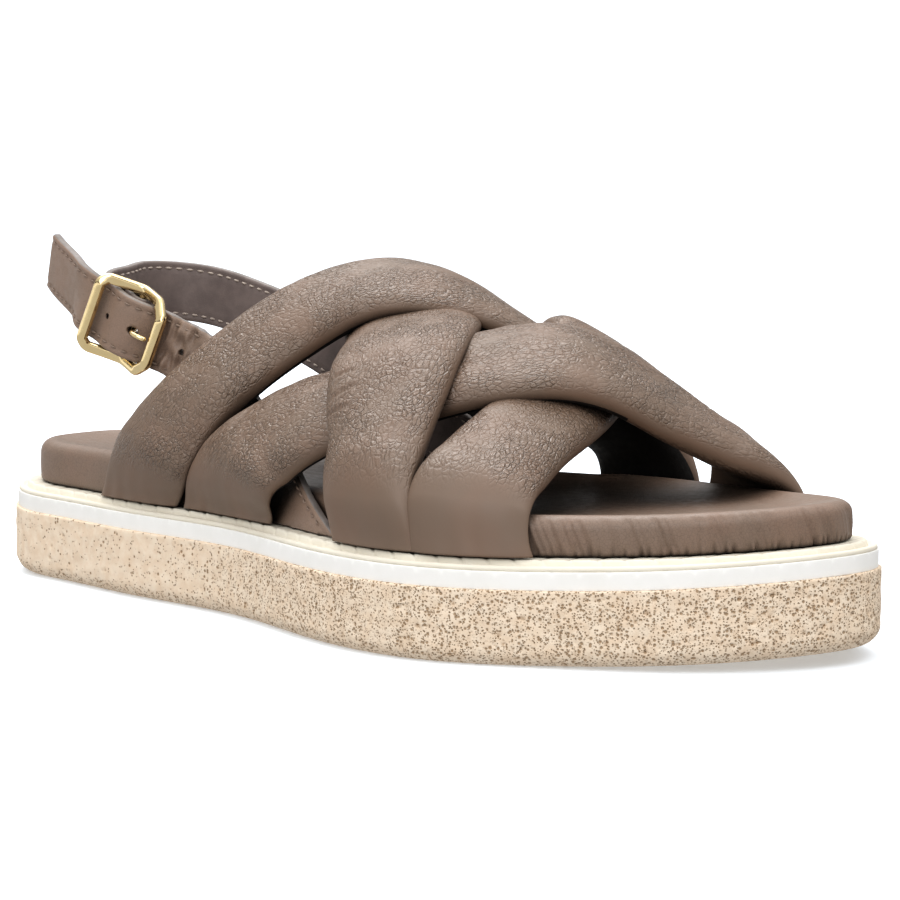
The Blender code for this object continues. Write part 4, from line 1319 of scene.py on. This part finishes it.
def make_buckle_pivot(material):
    """The thinner bar across the middle of the frame."""
    round_bar = turned(PIVOT_RADIUS, full_turn(PIVOT_SIDES))
    ends = product((-BUCKLE_HALF_HEIGHT, BUCKLE_HALF_HEIGHT), round_bar)
    points = [buckle_point(u, v, n) for v, (u, n) in ends]
    faces = tube_faces(2, PIVOT_SIDES)
    add_piece("gold_buckle_pivot", "buckle_frame", points, faces, [material], PIVOT_SMOOTH_ANGLE)


def make_prong(material):
    """A round prong hooked on the pivot, through the strap's hole and up to the front bar."""
    start, turn = PRONG_HOOK
    angles = np.radians(start - np.linspace(0.0, turn, PRONG_HOOK_STEPS))
    line = np.array([*turned(PIVOT_RADIUS + GAP + PRONG_RADIUS, angles), *PRONG_REACH])
    at = np.linspace(0.0, along(line)[-1], PRONG_STEPS)
    line = spline(along(line), line, at)
    forward = unit(np.gradient(line, at, axis=0))
    tip = np.clip(1 - (at[-1] - at) / PRONG_TIP, 0.0, PRONG_TIP_CUT)
    radius = PRONG_RADIUS * np.sqrt(1 - tip**2)
    points = []
    for (u, n), (step_u, step_n), size in zip(line, forward, radius):
        for angle in full_turn(PRONG_SIDES):
            aside = size * np.cos(angle)
            points.append(buckle_point(u - step_n * aside, size * np.sin(angle), n + step_u * aside))
    faces = tube_faces(len(line), PRONG_SIDES)
    add_piece("gold_buckle_prong", "buckle_prong", points, faces, [material])


# Materials


def new_material(name):
    """A material and its node tree."""
    material = bpy.data.materials.new(name)
    material.use_nodes = True
    return material, material.node_tree


def connect(tree, node, inputs):
    """Gives a node its links and its plain input values."""
    for socket, value in inputs.items():
        if isinstance(value, bpy.types.NodeSocket):
            tree.links.new(value, node.inputs[socket])
        else:
            node.inputs[socket].default_value = value


def put(tree, kind, inputs, **settings):
    """A new node with its settings and its inputs."""
    node = tree.nodes.new(kind)
    for name, value in settings.items():
        setattr(node, name, value)
    connect(tree, node, inputs)
    return node


def object_place(tree):
    """Places on the object in millimetres."""
    place = put(tree, "ShaderNodeTexCoord", {}).outputs["Object"]
    return put(tree, "ShaderNodeVectorMath", {0: place, "Scale": 1 / MM}, operation="SCALE").outputs[0]


def leather_place(tree):
    """Places on the flat leather in millimetres."""
    return put(tree, "ShaderNodeAttribute", {}, attribute_name="place").outputs["Vector"]


def number(tree, name):
    """A number that was given to each point of a mesh."""
    return put(tree, "ShaderNodeAttribute", {}, attribute_name=name).outputs["Fac"]


def noise(tree, place, scale, detail=NOISE_DETAIL, roughness=NOISE_ROUGHNESS):
    inputs = {"Vector": place, "Scale": scale, "Detail": detail, "Roughness": roughness}
    return put(tree, "ShaderNodeTexNoise", inputs).outputs["Fac"]


def changed(tree, operation, inputs):
    """Places changed by one step of vector arithmetic."""
    return put(tree, "ShaderNodeVectorMath", inputs, operation=operation).outputs[0]


def warped(tree, place, scale, amount):
    """Places shaken by a soft noise, so that cells and lines are uneven."""
    shake = put(tree, "ShaderNodeTexNoise", {"Vector": place, "Scale": scale, "Detail": WARP_DETAIL})
    centred = changed(tree, "SUBTRACT", {0: shake.outputs["Color"], 1: MIDDLE_GREY})
    moved = changed(tree, "SCALE", {0: centred, "Scale": amount})
    return changed(tree, "ADD", {0: place, 1: moved})


def stretched(tree, place, factors):
    return changed(tree, "MULTIPLY", {0: place, 1: factors})


def cells(tree, place, scale):
    """Distance to the border of leather cells or pores."""
    inputs = {"Vector": place, "Scale": scale}
    return put(tree, "ShaderNodeTexVoronoi", inputs, feature="DISTANCE_TO_EDGE").outputs["Distance"]


def times(tree, first, second):
    return put(tree, "ShaderNodeMath", {0: first, 1: second}, operation="MULTIPLY").outputs[0]


def most(tree, first, second):
    return put(tree, "ShaderNodeMath", {0: first, 1: second}, operation="MAXIMUM").outputs[0]


def rest_of(tree, share):
    return put(tree, "ShaderNodeMath", {0: 1.0, 1: share}, operation="SUBTRACT").outputs[0]


def remap(tree, value, span, result=(0.0, 1.0)):
    """A value changed softly from one end of a result to the other over a span."""
    inputs = {"Value": value}
    inputs.update(zip(("From Min", "From Max", "To Min", "To Max"), (*span, *result)))
    return put(tree, "ShaderNodeMapRange", inputs, interpolation_type="SMOOTHSTEP").outputs["Result"]


def foam(tree, place, scale, share):
    """Round pores of uneven size, open in a given share of the foam's cells."""
    inputs = {"Vector": place, "Scale": scale, "Randomness": FOAM_DISORDER}
    cell = put(tree, "ShaderNodeTexVoronoi", inputs).outputs
    chance = put(tree, "ShaderNodeSeparateColor", {"Color": cell["Color"]}).outputs
    size = remap(tree, chance["Green"], span=(0.0, 1.0), result=FOAM_SIZES)
    hollow = remap(tree, cell["Distance"], span=(0.0, size), result=(1.0, 0.0))
    is_open = put(tree, "ShaderNodeMath", {0: chance["Red"], 1: share}, operation="LESS_THAN").outputs[0]
    return times(tree, hollow, is_open)


def blend(tree, share, first, second):
    """A colour between two others."""
    inputs = {"Factor": share}
    for socket, tone in zip(MIX_COLOUR_INPUTS, (first, second)):
        inputs[socket] = (*tone, 1.0) if isinstance(tone, tuple) else tone
    return put(tree, "ShaderNodeMix", inputs, data_type="RGBA").outputs[MIX_COLOUR_OUTPUT]


def bump(tree, height, depth, strength, under=None):
    """A surface raised by a pattern, on top of the pattern under it."""
    inputs = {"Height": height, "Distance": depth * MM, "Strength": strength}
    if under is not None:
        inputs["Normal"] = under
    return put(tree, "ShaderNodeBump", inputs).outputs["Normal"]


def shade(tree, kind):
    """How open a place is, from 0 deep in a crease or under a strap to 1 in the open."""
    near = put(tree, "ShaderNodeAmbientOcclusion", {"Distance": kind.reach * MM}, samples=SHADE_SAMPLES)
    return remap(tree, near.outputs["AO"], span=(kind.closed, kind.open))


def dressed(material, looks):
    """A material whose shader has its looks: patterns are linked and plain values set."""
    connect(material.node_tree, material.node_tree.nodes["Principled BSDF"], looks)
    return material


def tumbled_leather():
    """Padded strap leather: pebbled grain on the crown, smooth edges and a satin finish."""
    material, tree = new_material("tumbled_leather")
    place = leather_place(tree)
    uneven = warped(tree, warped(tree, place, scale=0.09, amount=5.0), scale=0.5, amount=0.9)
    pebbles = cells(tree, stretched(tree, uneven, PEBBLE_STRETCH), scale=0.82)
    small = cells(tree, stretched(tree, uneven, SMALL_PEBBLE_STRETCH), scale=1.9)
    patches = remap(tree, noise(tree, place, scale=0.12), span=(0.3, 0.6), result=(0.35, 1.0))
    share = times(tree, number(tree, "grain"), patches)
    broad = remap(tree, noise(tree, place, scale=0.055), span=(0.35, 0.65))
    worn = remap(tree, noise(tree, place, scale=0.5), span=(0.4, 0.7), result=(0.0, 0.6))
    cracks = remap(tree, pebbles, span=(0.0, 0.08), result=(0.6, 0.0))
    tone = blend(tree, broad, *STRAP_TONES)
    tone = blend(tree, times(tree, worn, share), tone, WORN_TAUPE)
    tone = blend(tree, times(tree, cracks, share), tone, CRACK_TAUPE)
    tone = blend(tree, shade(tree, CREASE_SHADE), SHADE_TONE, tone)
    grain = times(tree, remap(tree, pebbles, span=(0.0, 0.22)), share)
    fine = times(tree, remap(tree, small, span=(0.0, 0.25)), share)
    normal = bump(tree, grain, depth=0.29, strength=0.9)
    normal = bump(tree, fine, depth=0.09, strength=0.8, under=normal)
    normal = bump(tree, noise(tree, place, scale=3.2), depth=0.03, strength=0.4, under=normal)
    gloss = remap(tree, noise(tree, place, scale=0.6), span=(0.3, 0.7), result=(1.0, 0.5))
    roughness = remap(tree, times(tree, gloss, share), span=(0.0, 1.0), result=(0.5, 0.24))
    looks = {"Base Color": tone, "Roughness": roughness, "Normal": normal, "Specular IOR Level": 0.6}
    return dressed(material, looks)


def smooth_leather(name, tones, pore_scale):
    """Leather with a fine, low grain, for the heel strap and the footbed, which alone has a hollow."""
    material, tree = new_material(name)
    place = object_place(tree)
    pores = cells(tree, warped(tree, place, scale=0.5, amount=0.8), scale=pore_scale)
    broad = remap(tree, noise(tree, place, scale=0.06), span=(0.35, 0.65))
    worn = remap(tree, noise(tree, place, scale=0.5), span=(0.5, 0.8), result=(0.0, 0.4))
    cracks = remap(tree, pores, span=(0.0, 0.08), result=(0.3, 0.0))
    tone = blend(tree, broad, *tones)
    tone = blend(tree, worn, tone, WORN_TAUPE)
    tone = blend(tree, cracks, tone, CRACK_TAUPE)
    tone = blend(tree, shade(tree, CREASE_SHADE), SHADE_TONE, tone)
    level = rest_of(tree, number(tree, "hollow"))
    tone = blend(tree, most(tree, shade(tree, HOLLOW_SHADE), level), SHADE_TONE, tone)
    normal = bump(tree, remap(tree, pores, span=(0.0, 0.3)), depth=0.03, strength=0.6)
    normal = bump(tree, noise(tree, place, scale=0.25, detail=4.0), depth=0.2, strength=0.3, under=normal)
    roughness = remap(tree, noise(tree, place, scale=0.4), span=(0.3, 0.7), result=(0.4, 0.52))
    return dressed(material, {"Base Color": tone, "Roughness": roughness, "Normal": normal})


def lining_leather(name, tones):
    """Thin smooth lining with small pores."""
    material, tree = new_material(name)
    place = object_place(tree)
    tone = blend(tree, remap(tree, noise(tree, place, scale=0.2), span=(0.3, 0.7)), *tones)
    dots = remap(tree, cells(tree, place, scale=1.6), span=(0.0, 0.25))
    normal = bump(tree, dots, depth=0.03, strength=0.4)
    roughness = remap(tree, noise(tree, place, scale=0.7), span=(0.3, 0.7), result=(0.55, 0.7))
    return dressed(material, {"Base Color": tone, "Roughness": roughness, "Normal": normal})


def crepe():
    """Porous natural foam: mottled beige with small dark pores, fewer towards the heel."""
    material, tree = new_material("crepe")
    place = object_place(tree)
    parts = put(tree, "ShaderNodeSeparateXYZ", {"Vector": place}).outputs
    toe = remap(tree, parts["X"], span=CREPE_TOE_SPAN, result=CREPE_TOE_SHARE)
    low = remap(tree, parts["Z"], span=CREPE_LOW_SPAN, result=(1.0, 0.0))
    share = most(tree, toe, low)
    pores = most(tree, foam(tree, place, scale=0.95, share=share), foam(tree, place, scale=1.7, share=share))
    mottle = noise(tree, place, scale=0.35, detail=4.0)
    hollow = remap(tree, pores, span=(0.08, 0.55), result=(0.0, 0.75))
    pit = remap(tree, number(tree, "pore"), span=(0.12, 0.5), result=(0.0, 0.5))
    tone = blend(tree, remap(tree, mottle, span=(0.3, 0.7)), *CREPE_TONES)
    tone = blend(tree, hollow, tone, CREPE_PORE)
    tone = blend(tree, pit, tone, CREPE_PORE)
    fine = noise(tree, place, scale=2.2, detail=4.0, roughness=0.6)
    normal = bump(tree, rest_of(tree, pores), depth=0.4, strength=0.9)
    normal = bump(tree, fine, depth=0.12, strength=0.5, under=normal)
    roughness = remap(tree, mottle, span=(0.3, 0.7), result=(0.8, 0.95))
    looks = {"Base Color": tone, "Roughness": roughness, "Normal": normal, "Specular IOR Level": 0.25}
    return dressed(material, looks)


def rubber(name, tones, roughness_span):
    """Smooth moulded rubber with a faint mottle and a fine matte skin."""
    material, tree = new_material(name)
    place = object_place(tree)
    mottle = remap(tree, noise(tree, place, scale=0.12, detail=4.0), span=(0.35, 0.7))
    tone = blend(tree, mottle, *tones)
    normal = bump(tree, noise(tree, place, scale=3.0), depth=0.03, strength=0.5)
    roughness = remap(tree, noise(tree, place, scale=0.3), span=(0.3, 0.7), result=roughness_span)
    return dressed(material, {"Base Color": tone, "Roughness": roughness, "Normal": normal})


def gold():
    """Polished gold plating with faint handling marks."""
    material, tree = new_material("gold")
    place = object_place(tree)
    tone = blend(tree, noise(tree, place, scale=0.3), *GOLD_TONES)
    marks = noise(tree, stretched(tree, place, GOLD_STRETCH), scale=2.0)
    normal = bump(tree, marks, depth=0.02, strength=0.25)
    roughness = remap(tree, noise(tree, place, scale=0.9), span=(0.3, 0.8), result=(0.1, 0.22))
    looks = {"Base Color": tone, "Roughness": roughness, "Normal": normal, "Metallic": 1.0}
    return dressed(material, looks)


def sewing_thread(name, tones):
    """Twisted thread."""
    material, tree = new_material(name)
    twist = noise(tree, stretched(tree, object_place(tree), THREAD_STRETCH), scale=2.0)
    tone = blend(tree, twist, *tones)
    normal = bump(tree, twist, depth=0.05, strength=0.5)
    roughness = remap(tree, twist, span=(0.3, 0.7), result=(0.6, 0.75))
    return dressed(material, {"Base Color": tone, "Roughness": roughness, "Normal": normal})


# Studio


def make_floor():
    """A wide, faintly lit pale floor under the shoe, which throws no light back up at it."""
    material, tree = new_material("pale_floor")
    place = put(tree, "ShaderNodeTexCoord", {}).outputs["Object"]
    tone = blend(tree, noise(tree, place, scale=2.0), *FLOOR_TONES)
    looks = {"Base Color": tone, "Roughness": FLOOR_ROUGHNESS}
    looks.update({"Emission Color": FLOOR_GLOW_TONE, "Emission Strength": FLOOR_GLOW})
    mesh = bpy.data.meshes.new("floor")
    disc = bmesh.new()
    bmesh.ops.create_circle(disc, cap_ends=True, radius=FLOOR_RADIUS, segments=FLOOR_SIDES)
    disc.to_mesh(mesh)
    disc.free()
    mesh.materials.append(dressed(material, looks))
    floor = bpy.data.objects.new("floor", mesh)
    bpy.context.scene.collection.objects.link(floor)
    floor.visible_diffuse = False
    floor.visible_glossy = False


def add_aimed(thing, away):
    """Puts a lamp or camera in the scene, turned to look back from where it stands."""
    thing.rotation_euler = Vector(away).to_track_quat("Z", "Y").to_euler()
    bpy.context.scene.collection.objects.link(thing)


def make_softboxes():
    for box in SOFTBOXES:
        light = bpy.data.lights.new(box.name, "AREA")
        light.shape = "DISK"
        light.size = box.size
        light.energy = box.power
        lamp = bpy.data.objects.new(box.name, light)
        lamp.location = box.place
        add_aimed(lamp, np.subtract(box.place, box.target))


def make_sky():
    """Soft light from all round, with a dark band that gives the leather and the gold some contrast."""
    world = bpy.data.worlds.new("studio")
    world.use_nodes = True
    tree = world.node_tree
    ways = put(tree, "ShaderNodeTexCoord", {}).outputs["Generated"]
    height = put(tree, "ShaderNodeSeparateXYZ", {"Vector": ways}).outputs["Z"]
    share = put(tree, "ShaderNodeMapRange", {"Value": height, "From Min": -1.0, "From Max": 1.0})
    ramp = put(tree, "ShaderNodeValToRGB", {"Fac": share.outputs["Result"]})
    steps = ramp.color_ramp.elements
    while len(steps) < len(SKY):
        steps.new(1.0)
    for step, row in zip(steps, SKY):
        step.position = (row.height + 1) / 2
        step.color = (row.light, row.light, row.light, 1.0)
    tree.links.new(ramp.outputs["Color"], tree.nodes["Background"].inputs["Color"])
    bpy.context.scene.world = world


def make_camera():
    """A camera at the photograph's angle, and how the picture is developed."""
    turn, rise = np.radians(CAMERA_AZIMUTH), np.radians(CAMERA_ELEVATION)
    camera = bpy.data.cameras.new("camera")
    camera.lens = CAMERA_LENS
    camera.shift_x, camera.shift_y = CAMERA_SHIFT
    holder = bpy.data.objects.new("camera", camera)
    holder.location = (np.array(CAMERA_PLACE) - np.append(ORIGIN, 0.0)) * MM
    add_aimed(holder, (np.sin(turn) * np.cos(rise), -np.cos(turn) * np.cos(rise), np.sin(rise)))
    bpy.context.scene.camera = holder
    view = bpy.context.scene.view_settings
    view.view_transform = "Standard"
    view.look = "Medium High Contrast"
    view.exposure = EXPOSURE


def main():
    make_camera()
    make_softboxes()
    make_sky()
    make_floor()
    make_outsole(crepe())
    make_midsole(rubber("white_rubber", WHITE_TONES, WHITE_ROUGHNESS))
    make_welt(rubber("cream_rubber", CREAM_TONES, CREAM_ROUGHNESS))
    make_footbed(smooth_leather("footbed_leather", FOOTBED_TONES, FOOTBED_PORE_SCALE))
    leather = tumbled_leather()
    # the straps' lining is near black, partly as painted shade under the straps
    lining_and_painted_shade = lining_leather("strap_lining", STRAP_LINING_AND_SHADE_TONES)
    for seed, name in enumerate(STRAPS):
        make_strap(name, seed, leather, lining_and_painted_shade)
    smooth = smooth_leather("heel_strap_leather", HEEL_STRAP_TONES, HEEL_STRAP_PORE_SCALE)
    lining = lining_leather("heel_strap_lining", HEEL_LINING_TONES)
    paint = lining_leather("edge_paint", EDGE_PAINT_TONES)
    make_outer_ribbon([smooth, lining, paint], sewing_thread("brown_thread", BROWN_THREAD_TONES))
    make_inner_ribbon([smooth, lining, paint], sewing_thread("pale_thread", PALE_THREAD_TONES))
    metal = gold()
    make_buckle_frame(metal)
    make_buckle_pivot(metal)
    make_prong(metal)


main()
